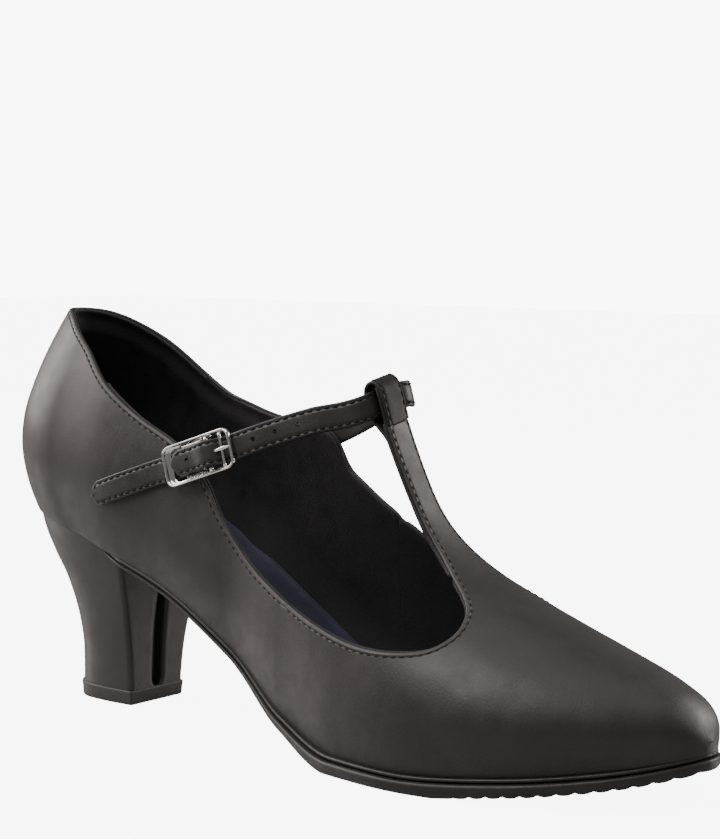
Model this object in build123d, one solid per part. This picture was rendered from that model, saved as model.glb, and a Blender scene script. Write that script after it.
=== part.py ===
"""Right T-strap character shoe with a block heel, as separate pieces.

Lengths are millimetres. Shapes are drawn in last coordinates: x runs forward from the back of the
heel seat, y to the wearer's left (the inner side of a right foot) and z up from the floor.
Every piece is moved at the end so that the origin is the centre of the heel tip's bearing face.
"""
from build123d import *
import math
import os

# ---------------------------------------------------------------- driving dimensions
LENGTH = 245.0            # last length, back of the seat to the toe
TIP_BACK, TIP_FRONT = 18.6, 47.4
TIP_HALF = 12.2
TIP_THICK = 4.7
ORIGIN_X = (TIP_BACK + TIP_FRONT) / 2

LEATHER = 1.1             # upper leather
BAND = 0.6                # stiffeners between leather and lining
LINING = 0.6
GLUE = 0.1                # cement film between plies
LEATHER_IN = LEATHER
BAND_OUT = LEATHER + GLUE
BAND_IN = BAND_OUT + BAND
LINING_OUT = BAND_IN + GLUE
LINING_IN = LINING_OUT + LINING

LASTING_MARGIN = 12.0     # the plies turn in this far under the insole
INSOLE = 1.9
SOCK = 1.0
WELT = 1.4
SOLE_SHANK, SOLE_FORE = 2.6, 4.8
FLAT_FROM, FLAT_TO = 152.0, 174.0   # where the tread lies on the floor
BREAST_X = 54.0
SOLE_START = 46.0

SEAM_X = 128.0            # inner side: quarter behind, vamp in front
T_HALF = 5.2
T_TOP_X = 138.3
STRAP_WIDTH, STRAP_THICK = 8.0, 1.6
CLEAR = 0.3


# ---------------------------------------------------------------- curves of the last
def curve(*knots):
    """Monotone cubic through (x, value) knots."""
    xs = [k[0] for k in knots]
    ys = [k[1] for k in knots]
    gap = [b - a for a, b in zip(xs, xs[1:])]
    rise = [(b - a) / g for a, b, g in zip(ys, ys[1:], gap)]

    def end_slope(g0, g1, r0, r1):
        d = ((2 * g0 + g1) * r0 - g0 * r1) / (g0 + g1)
        if d * r0 <= 0:
            return 0.0
        return 3 * r0 if r0 * r1 <= 0 and abs(d) > 3 * abs(r0) else d

    slope = [end_slope(gap[0], gap[1], rise[0], rise[1])]
    for i in range(1, len(gap)):
        r0, r1 = rise[i - 1], rise[i]
        w0, w1 = 2 * gap[i] + gap[i - 1], gap[i] + 2 * gap[i - 1]
        slope.append(0.0 if r0 * r1 <= 0 else (w0 + w1) / (w0 / r0 + w1 / r1))
    slope.append(end_slope(gap[-1], gap[-2], rise[-1], rise[-2]))

    def value(x):
        x = min(max(x, xs[0]), xs[-1])
        i = next(k for k in range(len(gap)) if x <= xs[k + 1])
        t = (x - xs[i]) / gap[i]
        a = (1 + 2 * t) * (1 - t) ** 2 * ys[i] + t * (1 - t) ** 2 * gap[i] * slope[i]
        return a + t * t * (3 - 2 * t) * ys[i + 1] + t * t * (t - 1) * gap[i] * slope[i + 1]

    return value


feather = curve((0, 62.5), (25, 59), (50, 52), (75, 42.5), (100, 28.5), (125, 12), (148, 5.2),
                (170, 5), (200, 7.2), (225, 10.5), (245, 15))
outer_half = curve((0, 25.5), (30, 25.5), (50, 26.5), (75, 25), (100, 25), (125, 29.5), (150, 35),
                   (170, 37), (190, 34.5), (205, 30), (220, 23), (232, 16), (240, 9.5), (245, 0))
inner_half = curve((0, 25.5), (50, 25.5), (75, 22), (100, 20), (125, 23), (150, 31), (170, 36),
                   (190, 35.5), (205, 32), (220, 26), (232, 18.5), (240, 11.5), (245, 0))
middle = curve((0, 0), (150, 0), (245, 5))
ridge = curve((0, 135), (100, 135), (120, 128), (138, 109), (142.6, 95.4), (150, 81.7), (160, 68),
              (173.4, 55.9), (190, 47.6), (210, 40), (230, 32.6), (237, 28.5), (242, 24), (245, 18))
bulge = curve((0, 5), (60, 5), (110, 3), (160, 3), (200, 2.5), (245, 1))
widest = curve((0, 22), (60, 22), (120, 18), (160, 14), (200, 11), (235, 8), (245, 3))
crown = curve((0, 1.6), (60, 1.6), (120, 1.0), (245, 1.0))
lean = curve((0, 3.5), (10, 0.3), (22, -1.5), (30, -0.8), (41, 2.3), (52, 5.8), (62, 9.5), (80, 17))
SEAT_ROUND = 30.0         # how far forward the round of the back reaches


def half_width(t, h, side):
    """Half width of the last at station t and height h above the feather edge."""
    w = (outer_half if side < 0 else inner_half)(t)
    full = w + bulge(t) * min(1.0, w / 12)
    top = ridge(t) - feather(t)
    belly = min(widest(t), top / 2)
    if h < belly:
        y = w + (full - w) * math.sin(h / belly * math.pi / 2)
    else:
        s = min(1.0, (h - belly) / (top - belly))
        y = full * math.sqrt(1 - s * s) ** crown(t)
    back = 1 - min(1.0, t / SEAT_ROUND)
    return y * math.sqrt(1 - back * back)


def station(x, h, inset):
    """Station t whose wall, inset by the given thickness, passes x at height h; below 0 is outside."""
    squeeze = (LENGTH - 2 * inset) / LENGTH
    t = (x - inset) / squeeze
    for _ in range(30):
        fade = max(0.0, 1 - max(t, 0) / 60) ** 1.5
        t = (x - inset - lean(h) * fade) / squeeze
    return t


def top_height(t, inset):
    """Height of the ridge above the feather edge, inset along the wall's own normal."""
    slope = ridge(t + 0.5) - ridge(t - 0.5)
    return ridge(t) - feather(t) - inset * min(4.0, math.hypot(1, slope))


def wall_y(x, z, side, out=0.0):
    """Y of the outside of the shoe at x and z, moved out by a distance."""
    h = z - feather(x)
    t = station(x, h, 0)
    return side * (half_width(t, h, side) + out) + middle(t)


def last_section(x, inset, floor):
    """Closed outline of the last at x, for one ply's face."""
    def inside(h):
        t = station(x, h, inset)
        if not 0 < t < LENGTH or not floor - 1 <= h < top_height(t, inset):
            return False
        return half_width(t, max(h, 0), 1) > inset + 0.25

    def edge_of(h, step):
        """Last height inside the last, going from h by step."""
        while inside(h + step):
            h += step
        for _ in range(12):
            step /= 2
            h += step if inside(h + step) else 0
        return h

    start = next(h for h in (floor + k * 0.5 for k in range(90)) if inside(h))
    low = edge_of(start, -0.5)
    high = edge_of(start, 0.5)
    count = 9
    rows = []
    for side in (-1, 1):
        row = []
        for k in range(count):
            h = low + (high - low) * math.sin(k / count * math.pi / 2)
            t = station(x, h, inset)
            belly = widest(t)
            full_top = ridge(t) - feather(t)
            stretch = (full_top - belly) / max(1.0, top_height(t, inset) - belly)
            drawn = h if h < belly else belly + (h - belly) * stretch
            y = max(0.25, half_width(t, drawn, side) - inset)
            row.append(Vector(x, side * y + middle(t), feather(x) + h))
        rows.append(row)
    peak = Vector(x, middle(x), feather(x) + high + 0.2)
    arch = Spline(*rows[0], peak, *rows[1][::-1])
    return Wire([arch, Line(arch @ 1, arch @ 0)])


STATIONS = (0.8, 3, 6, 10, 15, 21, 28, 38, 50, 64, 80, 98, 115, 128, 138, 146, 155, 164, 174, 185, 197,
            208, 217, 225, 231.5, 236.5, 240, 242.5)


def last_body(inset, floor):
    """Solid of the last, inset by one ply, standing on the bottom surface raised by floor."""
    back, front = inset - 0.9, LENGTH - 3 * inset - 1
    places = [back] + [x for x in STATIONS if back + 0.7 < x < front - 0.7] + [front]
    body = Solid.make_loft([last_section(x, inset, floor) for x in places], ruled=True)
    return body & band(floor, 200)


# ---------------------------------------------------------------- prisms that cut and bound
def rise(amount):
    """A height above the feather edge as a function of x."""
    return amount if callable(amount) else (lambda x: amount)


def band(low, high, start=-20.0, end=270.0):
    """Slab between two heights above the feather edge, right across the shoe."""
    low_at, high_at = rise(low), rise(high)
    xs = range(-20, 271, 10)

    def edge(height_at):
        return Spline(*[Vector(x, 0, feather(x) + height_at(x)) for x in xs])

    bottom, top = edge(low_at), edge(high_at)
    outline = Wire([bottom, Line(bottom @ 1, top @ 1), top, Line(top @ 0, bottom @ 0)])
    whole = extrude(Face(outline), 160, (0, 1, 0)).moved(Location((0, -80, 0)))
    return whole & slab(start, end, -80, 80, -120, 400)


PLAN_STEPS = 26


def plan(inset, extra=lambda t: 0.0):
    """Upright prism on the feather outline, moved in by inset and out by extra at each station."""
    squeeze = (LENGTH - 2 * inset) / LENGTH
    stations = [LENGTH / 2 * (1 - math.cos(math.pi * k / PLAN_STEPS)) for k in range(1, PLAN_STEPS)]

    def row(side):
        points = []
        for t in stations:
            half = half_width(t, 0, side) - inset + extra(t)
            if half > 1.0:
                x = inset + t * squeeze + lean(0) * max(0.0, 1 - t / 60) ** 1.5
                points.append(Vector(x, side * half + middle(t), 0))
        return points

    toe = Vector(LENGTH - inset + extra(LENGTH), middle(LENGTH), 0)
    loop = Wire.make_polygon([*row(-1), toe, *row(1)[::-1]], close=True)
    return extrude(Face(loop), 200, (0, 0, 1)).moved(Location((0, 0, -10)))


def slab(x0, x1, y0, y1, z0=-10.0, z1=190.0):
    """Box between two corners."""
    return Solid.make_box(x1 - x0, y1 - y0, z1 - z0, Plane((x0, y0, z0)))


def side_prism(points, y0, y1, straight=()):
    """Prism across the shoe on a side-view outline: a spline, then straight corners."""
    line = Spline(*[Vector(x, 0, z) for x, z in points])
    corners = [line @ 1] + [Vector(x, 0, z) for x, z in straight] + [line @ 0]
    edges = [Line(a, b) for a, b in zip(corners, corners[1:])]
    return extrude(Face(Wire([line] + edges)), y1 - y0, (0, 1, 0)).moved(Location((0, y0, 0)))


def round_bar(a, b, radius):
    """Cylinder from a to b."""
    a, b = Vector(*a), Vector(*b)
    return Solid.make_cylinder(radius, (b - a).length, Plane(a, z_dir=b - a))


def ribbon(points, across, width, thick, low=-0.5, first=None, last=None):
    """Flat strip through the points; across is its width direction, low its underside in plies."""
    points = [Vector(*p) for p in points]
    sections = []
    for i, p in enumerate(points):
        along = (points[min(i + 1, len(points) - 1)] - points[max(i - 1, 0)]).normalized()
        if i == 0 and first:
            along = first
        if i == len(points) - 1 and last:
            along = last
        wide = (across - along * across.dot(along)).normalized()
        up = along.cross(wide)
        half = wide * (width[i] if isinstance(width, (list, tuple)) else width) / 2
        a, b = p + up * thick * low, p + up * thick * (low + 1)
        sections.append(Wire.make_polygon([a - half, a + half, b + half, b - half], close=True))
    return Solid.make_loft(sections, ruled=True)


# ---------------------------------------------------------------- opening of the shoe
TOP_BACK = ((-12, 126.5), (9.6, 126.2), (15, 125.6), (22, 123), (28, 119.5), (35, 115), (41, 110),
            (48, 104.2), (56, 99.2))
TOP_OUTER = TOP_BACK + ((63, 95.2), (71, 91.4), (79, 87.6), (86, 82.6), (92, 77.4), (97, 69.5),
                        (105, 59.8), (112, 54), (120, 49.6), (130, 45.1), (142, 41.1), (152, 38.5),
                        (165, 37.3), (173, 37.9), (178.4, 39.4), (181.5, 42.2), (182.6, 46))
TOP_INNER = TOP_BACK + ((64, 97), (74, 94.6), (86, 92.6), (97, 91.2), (104.5, 89), (107.4, 84.5),
                        (108.6, 80), (113.5, 75.6), (119, 71.1), (127, 65.5), (136.6, 58.5),
                        (147, 52.6), (158, 48), (168, 43.6), (176, 42.6), (181, 44), (182.6, 46.5))
T_PLAN = ((126, T_HALF), (140, T_HALF), (153, 5.0), (160, 5.9), (166, 7.6), (172, 10.6), (177.6, 13.8),
          (181, 17.5), (184, 26))
T_TOP = Vector(T_TOP_X, 0, 108.4)
T_UP = Vector(-0.314, 0, 0.949)
T_OUT = Vector(0.949, 0, 0.314)
STRAP_DEPTH = 3.5


def t_region():
    """Prism round the T-strap, cut square across its top."""
    outer = [Vector(x, -half, 0) for x, half in T_PLAN]
    inner = [Vector(x, half, 0) for x, half in T_PLAN[::-1]]
    ends = (Vector(210, -26, 0), Vector(210, 26, 0))
    prism = extrude(Face(Wire.make_polygon([*outer, *ends, *inner], close=True)), 160)
    above = ribbon([T_TOP - T_OUT * 40, T_TOP + T_OUT * 40], T_UP.cross(T_OUT), 60, 60, 0)
    below = ribbon([T_TOP - T_OUT * 40, T_TOP + T_OUT * 40], T_UP.cross(T_OUT), 60, 60, -1)
    top = above if above.center().Z > below.center().Z else below
    return prism - top


def opening():
    """Everything above the topline, apart from the T-strap."""
    sky = ((182.6, 150), (-12, 150))
    return side_prism(TOP_OUTER, -80, 0, sky) + side_prism(TOP_INNER, 0, 80, sky) - t_region()


# ---------------------------------------------------------------- bottom of the shoe
SHANK_X = (24.6, 126.0)
RIVET_X = (104.0, 118.0)
NAILS = ((28.5, -8.4), (28.5, 8.4), (37, -10), (37, 10), (44.5, -10), (44.5, 10))
SCREW_X = 34.0
INSOLE_LOW = LINING_IN + GLUE / 2
INSOLE_TOP = INSOLE_LOW + INSOLE
PAD_END = 60.0


def sock_low(x):
    """Underside of the sock: over the heel pad, then down onto the insole."""
    ramp = min(1.0, max(0.0, (x - PAD_END) / 14))
    return INSOLE_TOP + GLUE / 2 + 1.1 * (1 - ramp * ramp * (3 - 2 * ramp))


welt_edge = curve((0, 0), (60, 0.2), (110, 0.9), (140, 1.8), (245, 1.8))
sole_edge = curve((0, 0), (60, 0.3), (110, 1.2), (140, 2.4), (245, 2.4))
sole_thick = curve((46, SOLE_SHANK), (100, 2.9), (125, 3.9), (152, 5.6), (174, 5.6), (200, 5.2), (245, 4.8))


def sole_low(x):
    return max(0.0, feather(x) - sole_thick(x))


def outsole():
    """Sole from under the heel seat to the toe, with a flat tread at the ball."""
    back = Spline(*[Vector(x, 0, sole_low(x)) for x in (SOLE_START, 56, 68, 80, 92, 104, 116, 128, 140)],
                  Vector(FLAT_FROM, 0, 0), tangents=((1, 0, -0.35), (1, 0, 0)))
    flat = Line(Vector(FLAT_FROM, 0, 0), Vector(FLAT_TO, 0, 0))
    toe = Spline(Vector(FLAT_TO, 0, 0), *[Vector(x, 0, sole_low(x)) for x in (190, 204, 218, 232, 250)],
                 tangents=((1, 0, 0), (1, 0, 0.26)))
    up = Line(toe @ 1, Vector(250, 0, 60))
    roof = Line(up @ 1, Vector(SOLE_START, 0, 60))
    down = Line(roof @ 1, back @ 0)
    side = extrude(Face(Wire([back, flat, toe, up, roof, down])), 160, (0, 1, 0))
    side = side.moved(Location((0, -80, 0))) - band(-WELT - 0.05, 200)
    return side & plan(0, sole_edge)


def welt_strip():
    """Narrow strip that shows as a bead between the upper and the sole."""
    ring = plan(0, welt_edge) - plan(4.0)
    return ring & band(-WELT, -0.03, SOLE_START, 262)


def shank_spring():
    """Curved steel strip that stiffens the waist."""
    x0, x1 = SHANK_X
    strip = slab(x0 + 6, x1 - 6, -6, 6)
    ends = [Solid.make_cylinder(6, 200, Plane((x, 0, -10))) for x in (x0 + 6, x1 - 6)]
    return (strip + ends[0] + ends[1]) & band(0.4, 1.9)


def pins(places, radius, low, high):
    """Upright pins at (x, y) places between two heights above the feather edge."""
    roof = band(-80, high)
    rods = []
    for x, y in places:
        rod = Solid.make_cylinder(radius, high - low + 4, Plane((x, y, feather(x) + low)))
        rods.append((rod & roof).solids()[0])
    return rods


def bottom_filler(holes):
    """Cork and fibre that levels the bottom inside the turned-in plies."""
    plate = cut(plan(4.1) & band(-WELT, -0.03, SOLE_START + 0.1, 262), [])
    plug = cut(plan(LASTING_MARGIN + 0.1) & band(-0.5, LINING_IN), [slab(0, SOLE_START, -60, 60) & band(-9, 0)])
    pocket = slab(SHANK_X[0] - 0.1, SHANK_X[1] + 0.1, -6.1, 6.1) & band(0.35, 1.95)
    return cut(plate + plug, [pocket] + holes)


def insole_board(holes):
    return cut(plan(3.6) & band(INSOLE_LOW, INSOLE_TOP, 6, 232), holes)


def heel_pad():
    return plan(7) & band(INSOLE_TOP + GLUE / 2, INSOLE_TOP + GLUE / 2 + 1.0, 8, PAD_END)


def sock_lining():
    return plan(3.8) & band(sock_low, lambda x: sock_low(x) + SOCK, 6, 230)


def cut(body, tools):
    """Body less every tool."""
    body = Part(Compound(body.solids()).wrapped)
    for tool in tools:
        body = Part(Compound((body - Part(Compound(tool.solids()).wrapped)).solids()).wrapped)
    return body


# ---------------------------------------------------------------- heel
heel_back = curve((4.7, 18.7), (16, 18.9), (24, 18.0), (31, 16.4), (40, 13.4), (48, 9.4), (57, 5.4), (66, 2.8))
heel_half = curve((4.7, TIP_HALF), (16, 13.2), (24, 14.6), (31, 16.4), (40, 19.6), (48, 23.0), (57, 25.4),
                  (66, 25.7))
heel_front = curve((4.7, TIP_FRONT), (16, 47.7), (24, 48.2), (31, 49), (40, 50.6), (48, 53), (57, 56),
                   (66, 58))
GROOVE_HALF, GROOVE_DEEP = 2.3, 4.5


def heel_outline(back, half, front, z, round_length):
    """D-shaped outline: a round back and a straight breast."""
    side = [(front, half * 0.985)]
    side += [(back + round_length * (1 - math.cos(a)), half * math.sin(a))
             for a in (math.pi / 2, 1.25, 0.95, 0.65, 0.32)]
    points = [Vector(x, -y, z) for x, y in side] + [Vector(back, 0, z)]
    points += [Vector(x, y, z) for x, y in side[::-1]]
    arc = Spline(*points)
    return Wire([arc, Line(arc @ 1, arc @ 0)])


def heel_block(holes):
    """Moulded heel, grooved down its breast and hollowed for the sole's tongue."""
    levels = (TIP_THICK + 0.03, 10, 16, 24, 31, 37, 43, 48, 53, 58, 66)
    outlines = [heel_outline(heel_back(z), heel_half(z), heel_front(z), z, heel_half(z) * 1.13)
                for z in levels]
    body = Solid.make_loft(outlines, ruled=True) - band(-0.03, 200)
    tongue = band(-WELT - SOLE_SHANK - 0.1, 30, SOLE_START - 0.1, 100)
    body = body - tongue
    groove_x = TIP_FRONT - GROOVE_DEEP
    groove = slab(groove_x, 70, -GROOVE_HALF, GROOVE_HALF, 10, 36)
    groove = groove + round_bar((groove_x, 0, 10), (70, 0, 10), GROOVE_HALF)
    return cut(body - groove, holes)


def heel_tip(holes):
    """Wear tip whose bearing face is the origin plane."""
    low = heel_outline(TIP_BACK + 0.2, TIP_HALF - 0.2, TIP_FRONT - 0.2, 0, TIP_HALF)
    rim = heel_outline(TIP_BACK, TIP_HALF, TIP_FRONT, 0.6, TIP_HALF)
    top = heel_outline(TIP_BACK - 0.2, TIP_HALF + 0.3, TIP_FRONT + 0.3, TIP_THICK, TIP_HALF)
    return cut(Solid.make_loft([low, rim, top], ruled=True), holes)


def tip_pins(slack):
    """Two steel pins moulded into the tip and driven into the heel."""
    return [round_bar((x, 0, 1.5), (x, 0, 15), 1.5 + slack) for x in (TIP_BACK + 8, TIP_FRONT - 9)]


# ---------------------------------------------------------------- upper and lining
def plies():
    """Upper, stiffeners and linings, each cut from the gap between two faces of the last."""
    bodies = [last_body(0, 0), last_body(LEATHER_IN, LEATHER_IN), last_body(BAND_OUT, BAND_OUT),
              last_body(BAND_IN, BAND_IN), last_body(LINING_OUT, LINING_OUT),
              last_body(LINING_IN, LINING_IN)]
    away = [opening(), plan(LASTING_MARGIN) & band(-5, 6)]
    leather = cut(bodies[0] - bodies[1], away)
    stiff = cut(bodies[2] - bodies[3], away)
    lining = cut(bodies[4] - bodies[5], away)
    strap_zone = t_region() & slab(120, 171, -30, 30)
    under = ribbon([T_TOP + T_UP * -14, T_TOP + T_UP * 5], Vector(0, 1, 0), 40, 10, STRAP_DEPTH / 10)
    strap_back = (cut(bodies[2] - bodies[5], away) & strap_zone) - under
    zone = t_region() & slab(120, 171.1, -30.1, 30.1)
    seam = slab(-20, SEAM_X, 0.05, 80)
    seam_gap = slab(-20, SEAM_X + 0.1, -0.05, 80)
    return {
        "upper": leather - seam_gap,
        "medial_quarter": leather & seam,
        "heel_counter": stiff & slab(-20, 60, -80, 80, -10, 104),
        "interlining": stiff & slab(60.1, 199.9, -80, 80) - zone,
        "toe_puff": stiff & slab(200, 260, -80, 80),
        "quarter_lining": lining & slab(-20, SEAM_X - 1, -80, 80),
        "vamp_lining": (lining & slab(SEAM_X - 0.9, 260, -80, 80)) - zone,
        "t_strap_lining": strap_back,
    }


def t_strap_loop():
    """Folded end of the T-strap: over the top, down behind the ankle strap and stitched below it."""
    def at(up, out):
        p = T_TOP + T_UP * up + T_OUT * out
        return Vector(p.X, 0, p.Z)

    shape = ((0, 0.1), (0, 0.8), (-0.6, 1.4), (-6.2, 1.4), (-6.8, 0.8), (-6.8, -13.2), (-2.95, -13.2),
             (-2.95, -10.7), (-5.7, -10.7), (-5.7, 0.1))
    outline = Wire.make_polygon([at(up, out) for out, up in shape], close=True)
    return extrude(Face(outline), 2 * T_HALF, (0, 1, 0)).moved(Location((0, -T_HALF, 0)))


# ---------------------------------------------------------------- ankle strap and buckle
BUCKLE = Vector(92.75, -30.1, 84.7)
ALONG = Vector(0.940, 0.087, 0.329).normalized()
ACROSS = (Vector(-0.335, 0.06, 0.94) - ALONG * ALONG.dot(Vector(-0.335, 0.06, 0.94))).normalized()
OUT = ALONG.cross(ACROSS)
FRAME_LENGTH, FRAME_WIDTH, FRAME_BAR, FRAME_THICK = 24.8, 12.4, 1.5, 1.5
END_BAR = 2.6
CENTRE_BAR, CENTRE_RADIUS = 3.5, 0.6
RING_PIVOT, RING_FREE, RING_DEPTH, RING_WIRE = -6.6, 0.2, -1.5, 0.45
RING_HALF = 4.65
LOOP_STRAP = T_TOP + T_UP * -5.4 + T_OUT * -4.45
SPLIT_Y = -T_HALF - 0.6
HOLE_RADIUS = 0.9


def local(s, n, w=0.0):
    """Point in the buckle's own axes: along the strap, out from the foot, and across."""
    return BUCKLE + ALONG * s + OUT * n + ACROSS * w


def local_plane(s, n, w=0.0):
    return Plane(local(s, n, w), x_dir=ALONG, z_dir=OUT)


def local_box(s0, s1, w0, w1, n0, n1):
    """Box in the buckle's own axes."""
    centre = local_plane((s0 + s1) / 2, (n0 + n1) / 2, (w0 + w1) / 2)
    return centre * Box(s1 - s0, w1 - w0, n1 - n0)


def local_bar(s, n, w0, w1, radius):
    return round_bar(local(s, n, w0), local(s, n, w1), radius)


TAIL_PATH = [local(-9.8, 0.95), local(-4, 0.95), local(0, 1.35), local(3.5, 2.1), local(5.0, 1.5),
             local(8.8, -1.75), local(12.9, -1.85)]
FREE_PATH = [Vector(113.3, -22.6, 92.5), Vector(122.2, -17.2, 95.9), Vector(130.0, -11.6, 99.0)]
SPLIT = Vector(LOOP_STRAP.X, SPLIT_Y, LOOP_STRAP.Z - 0.1)
SPLIT_WAY = ((SPLIT - FREE_PATH[-1]).normalized() + Vector(0, 1, 0)).normalized()
SPLIT_ACROSS = (ACROSS - SPLIT_WAY * SPLIT_WAY.dot(ACROSS)).normalized()
HINGE = SPLIT + SPLIT_WAY.cross(SPLIT_ACROSS) * (STRAP_THICK / 2)
SPLIT_GAP = 0.15
LOOP_PATH = [Vector(LOOP_STRAP.X, y, LOOP_STRAP.Z) for y in (-4.0, 0, 5.2)]
MEDIAL_ARC = ((136.6, 9.6, 102.3), (136.0, 13.5, 102.1), (133.4, 17.6, 101.2), (129.3, 20.9, 99.4),
              (124, 23.1, 97), (118, 24.1, 94.2), (112.5, 23.4, 91.4))
ROOT_XZ = ((107, 88.6), (98, 86.2), (92, 84.8))


def medial_path():
    """From the loop down to the inner quarter, lying against its outside at the end."""
    free = [Vector(*p) for p in MEDIAL_ARC]
    gaps = (1.9, 1.6, 1.5)
    laid = []
    for (x, z), gap in zip(ROOT_XZ, gaps):
        laid.append(Vector(x, wall_y(x, z, 1, gap), z))
    return free + laid


def ankle_strap_lateral():
    """Free end of the ankle strap, with its punched holes and rounded tail."""
    path = TAIL_PATH + FREE_PATH + [SPLIT]
    widths = [5.0] + [STRAP_WIDTH] * (len(path) - 1)
    strap = ribbon(path, ACROSS, widths, STRAP_THICK, last=SPLIT_WAY)
    strap = strap - local_box(3.7, 7.6, -1.2, 1.2, -3, 5)
    spots = [local(-3.3, 1)] + [a + (b - a) * 0.35 for a, b in zip(path[6:9], path[7:10])]
    for spot in spots:
        strap = strap - round_bar(spot - OUT * 3, spot + OUT * 3, HOLE_RADIUS)
    return strap


def ankle_strap_medial():
    """Root of the ankle strap, from the loop to the inner quarter."""
    path = [SPLIT + SPLIT_WAY * SPLIT_GAP] + LOOP_PATH + medial_path()
    return ribbon(path, ACROSS, STRAP_WIDTH, STRAP_THICK, first=SPLIT_WAY)


def buckle_frame():
    """Rounded frame with a slim bar behind, a broad one in front and a round centre bar."""
    outer = local_plane(0, 0) * extrude(RectangleRounded(FRAME_LENGTH, FRAME_WIDTH, 2.8), FRAME_THICK / 2,
                                        both=True)
    length = FRAME_LENGTH - FRAME_BAR - END_BAR
    window = RectangleRounded(length, FRAME_WIDTH - 2 * FRAME_BAR, 1.6)
    inner = local_plane((FRAME_BAR - END_BAR) / 2, 0) * extrude(window, FRAME_THICK, both=True)
    half = FRAME_WIDTH / 2 - 0.5
    return outer - inner + local_bar(CENTRE_BAR, 0, -half, half, CENTRE_RADIUS)


def eye(w0, w1):
    """Sleeve round the centre bar."""
    outer = local_bar(CENTRE_BAR, 0, w0, w1, 1.05)
    return outer - local_bar(CENTRE_BAR, 0, w0 - 1, w1 + 1, CENTRE_RADIUS + 0.08)


def buckle_prong():
    """Tongue that pivots on the centre bar and rests on the broad bar."""
    path = [local(4.45, 0.25), local(7.5, 0.95), local(9.4, 1.35), local(12.0, 1.3)]
    return eye(-0.75, 0.75) + ribbon(path, ACROSS, [1.5, 1.4, 1.3, 1.0], 0.8)


def buckle_hook():
    """Plate on the centre bar whose tooth hooks the tab's ring."""
    plate = local_box(-1.25, 2.75, -3.6, 3.6, -0.9, -0.3) - local_box(2.2, 3, -1.0, 1.0, -2, 2)
    tooth = local_box(-1.25, -0.6, -3.6, 3.6, -2.6, -0.3)
    return plate + tooth + eye(-3.6, -1.1) + eye(1.1, 3.6)


def tab_ring():
    """Wire ring held in the fold of the tab."""
    bars = [local_bar(s, RING_DEPTH, -RING_HALF, RING_HALF, RING_WIRE) for s in (RING_PIVOT, RING_FREE)]
    sides = [round_bar(local(RING_PIVOT, RING_DEPTH, w), local(RING_FREE, RING_DEPTH, w), RING_WIRE)
             for w in (-RING_HALF, RING_HALF)]
    corners = [Solid.make_sphere(RING_WIRE, Plane(local(s, RING_DEPTH, w)))
               for s in (RING_PIVOT, RING_FREE) for w in (-RING_HALF, RING_HALF)]
    ring = bars[0]
    for piece in bars[1:] + sides + corners:
        ring = ring + piece
    return ring


def buckle_tab():
    """Stitched tab on the outer quarter, folded round the ring."""
    laid = ((50.5, 69.6), (54, 71.0), (62, 74.0), (70, 76.9), (76, 79.0))
    path = [Vector(x, wall_y(x, z, -1, 1.0), z) for x, z in laid]
    path += [local(-12, -1.95), local(-8.6, -1.75), local(RING_PIVOT, RING_DEPTH)]
    widths = [4.0, 7.4] + [8.0] * (len(path) - 2)
    tab = ribbon(path, ACROSS, widths, 1.5)
    tab = tab + local_bar(RING_PIVOT, RING_DEPTH, -4, 4, 1.15)
    return tab - local_bar(RING_PIVOT, RING_DEPTH, -5, 5, RING_WIRE + 0.1)


# ---------------------------------------------------------------- assembly
def assemble():
    """Every piece by name, in last coordinates."""
    nails = pins(NAILS, 1.1, -13, INSOLE_TOP)
    nail_holes = pins(NAILS, 1.12, -13.1, INSOLE_TOP + 2)
    screw = pins([(SCREW_X, 0)], 2.0, -24, INSOLE_TOP)
    screw_hole = pins([(SCREW_X, 0)], 2.02, -24.1, INSOLE_TOP + 2)
    rivets = pins([(x, 0) for x in RIVET_X], 1.6, 0.0, INSOLE_TOP)
    rivet_holes = pins([(x, 0) for x in RIVET_X], 1.62, -0.1, INSOLE_TOP + 2)
    holes = nail_holes + screw_hole
    pieces = {
        "outsole": outsole(),
        "welt_strip": welt_strip(),
        "bottom_filler": bottom_filler(holes + rivet_holes),
        "shank_spring": cut(shank_spring(), screw_hole + rivet_holes),
        "shank_rivets": Compound(rivets),
        "insole_board": insole_board(holes + rivet_holes),
        "heel_pad": heel_pad(),
        "sock_lining": sock_lining(),
        "heel_block": heel_block(holes + tip_pins(0.02)),
        "heel_tip": heel_tip(tip_pins(0.02)),
        "heel_tip_pins": Compound(tip_pins(0)),
        "heel_nails": Compound(nails),
        "heel_screw": Compound(screw),
        "t_strap_loop": t_strap_loop(),
        "ankle_strap_medial": ankle_strap_medial(),
        "ankle_strap_lateral": ankle_strap_lateral(),
        "buckle_frame": buckle_frame(),
        "buckle_prong": buckle_prong(),
        "buckle_hook": buckle_hook(),
        "tab_ring": tab_ring(),
        "buckle_tab": buckle_tab(),
    }
    pieces.update(plies())
    return pieces


def main():
    os.makedirs("parts", exist_ok=True)
    shift = Location((-ORIGIN_X, 0, 0))
    for name, piece in assemble().items():
        export_step(Compound(piece.solids()).moved(shift), f"parts/{name}.step")
    for label, point, way in (("strap hinge", HINGE, SPLIT_ACROSS),
                              ("prong and centre bar", local(CENTRE_BAR, 0), ACROSS),
                              ("ring in the tab", local(RING_PIVOT, RING_DEPTH), ACROSS)):
        print(label, point - Vector(ORIGIN_X, 0, 0), way)


if __name__ == "__main__":
    main()
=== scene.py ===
"""Looks of a right T-strap tap shoe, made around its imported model.

Shapes are worked out in millimetres on the shoe's last (x forward from the back of the heel seat,
y to the wearer's left, z up from the floor) and are written in metres in the model's frame.
"""
import math

import bmesh
import bpy
import numpy as np
from mathutils import Matrix, Vector
from mathutils.bvhtree import BVHTree
from mathutils.kdtree import KDTree


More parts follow.
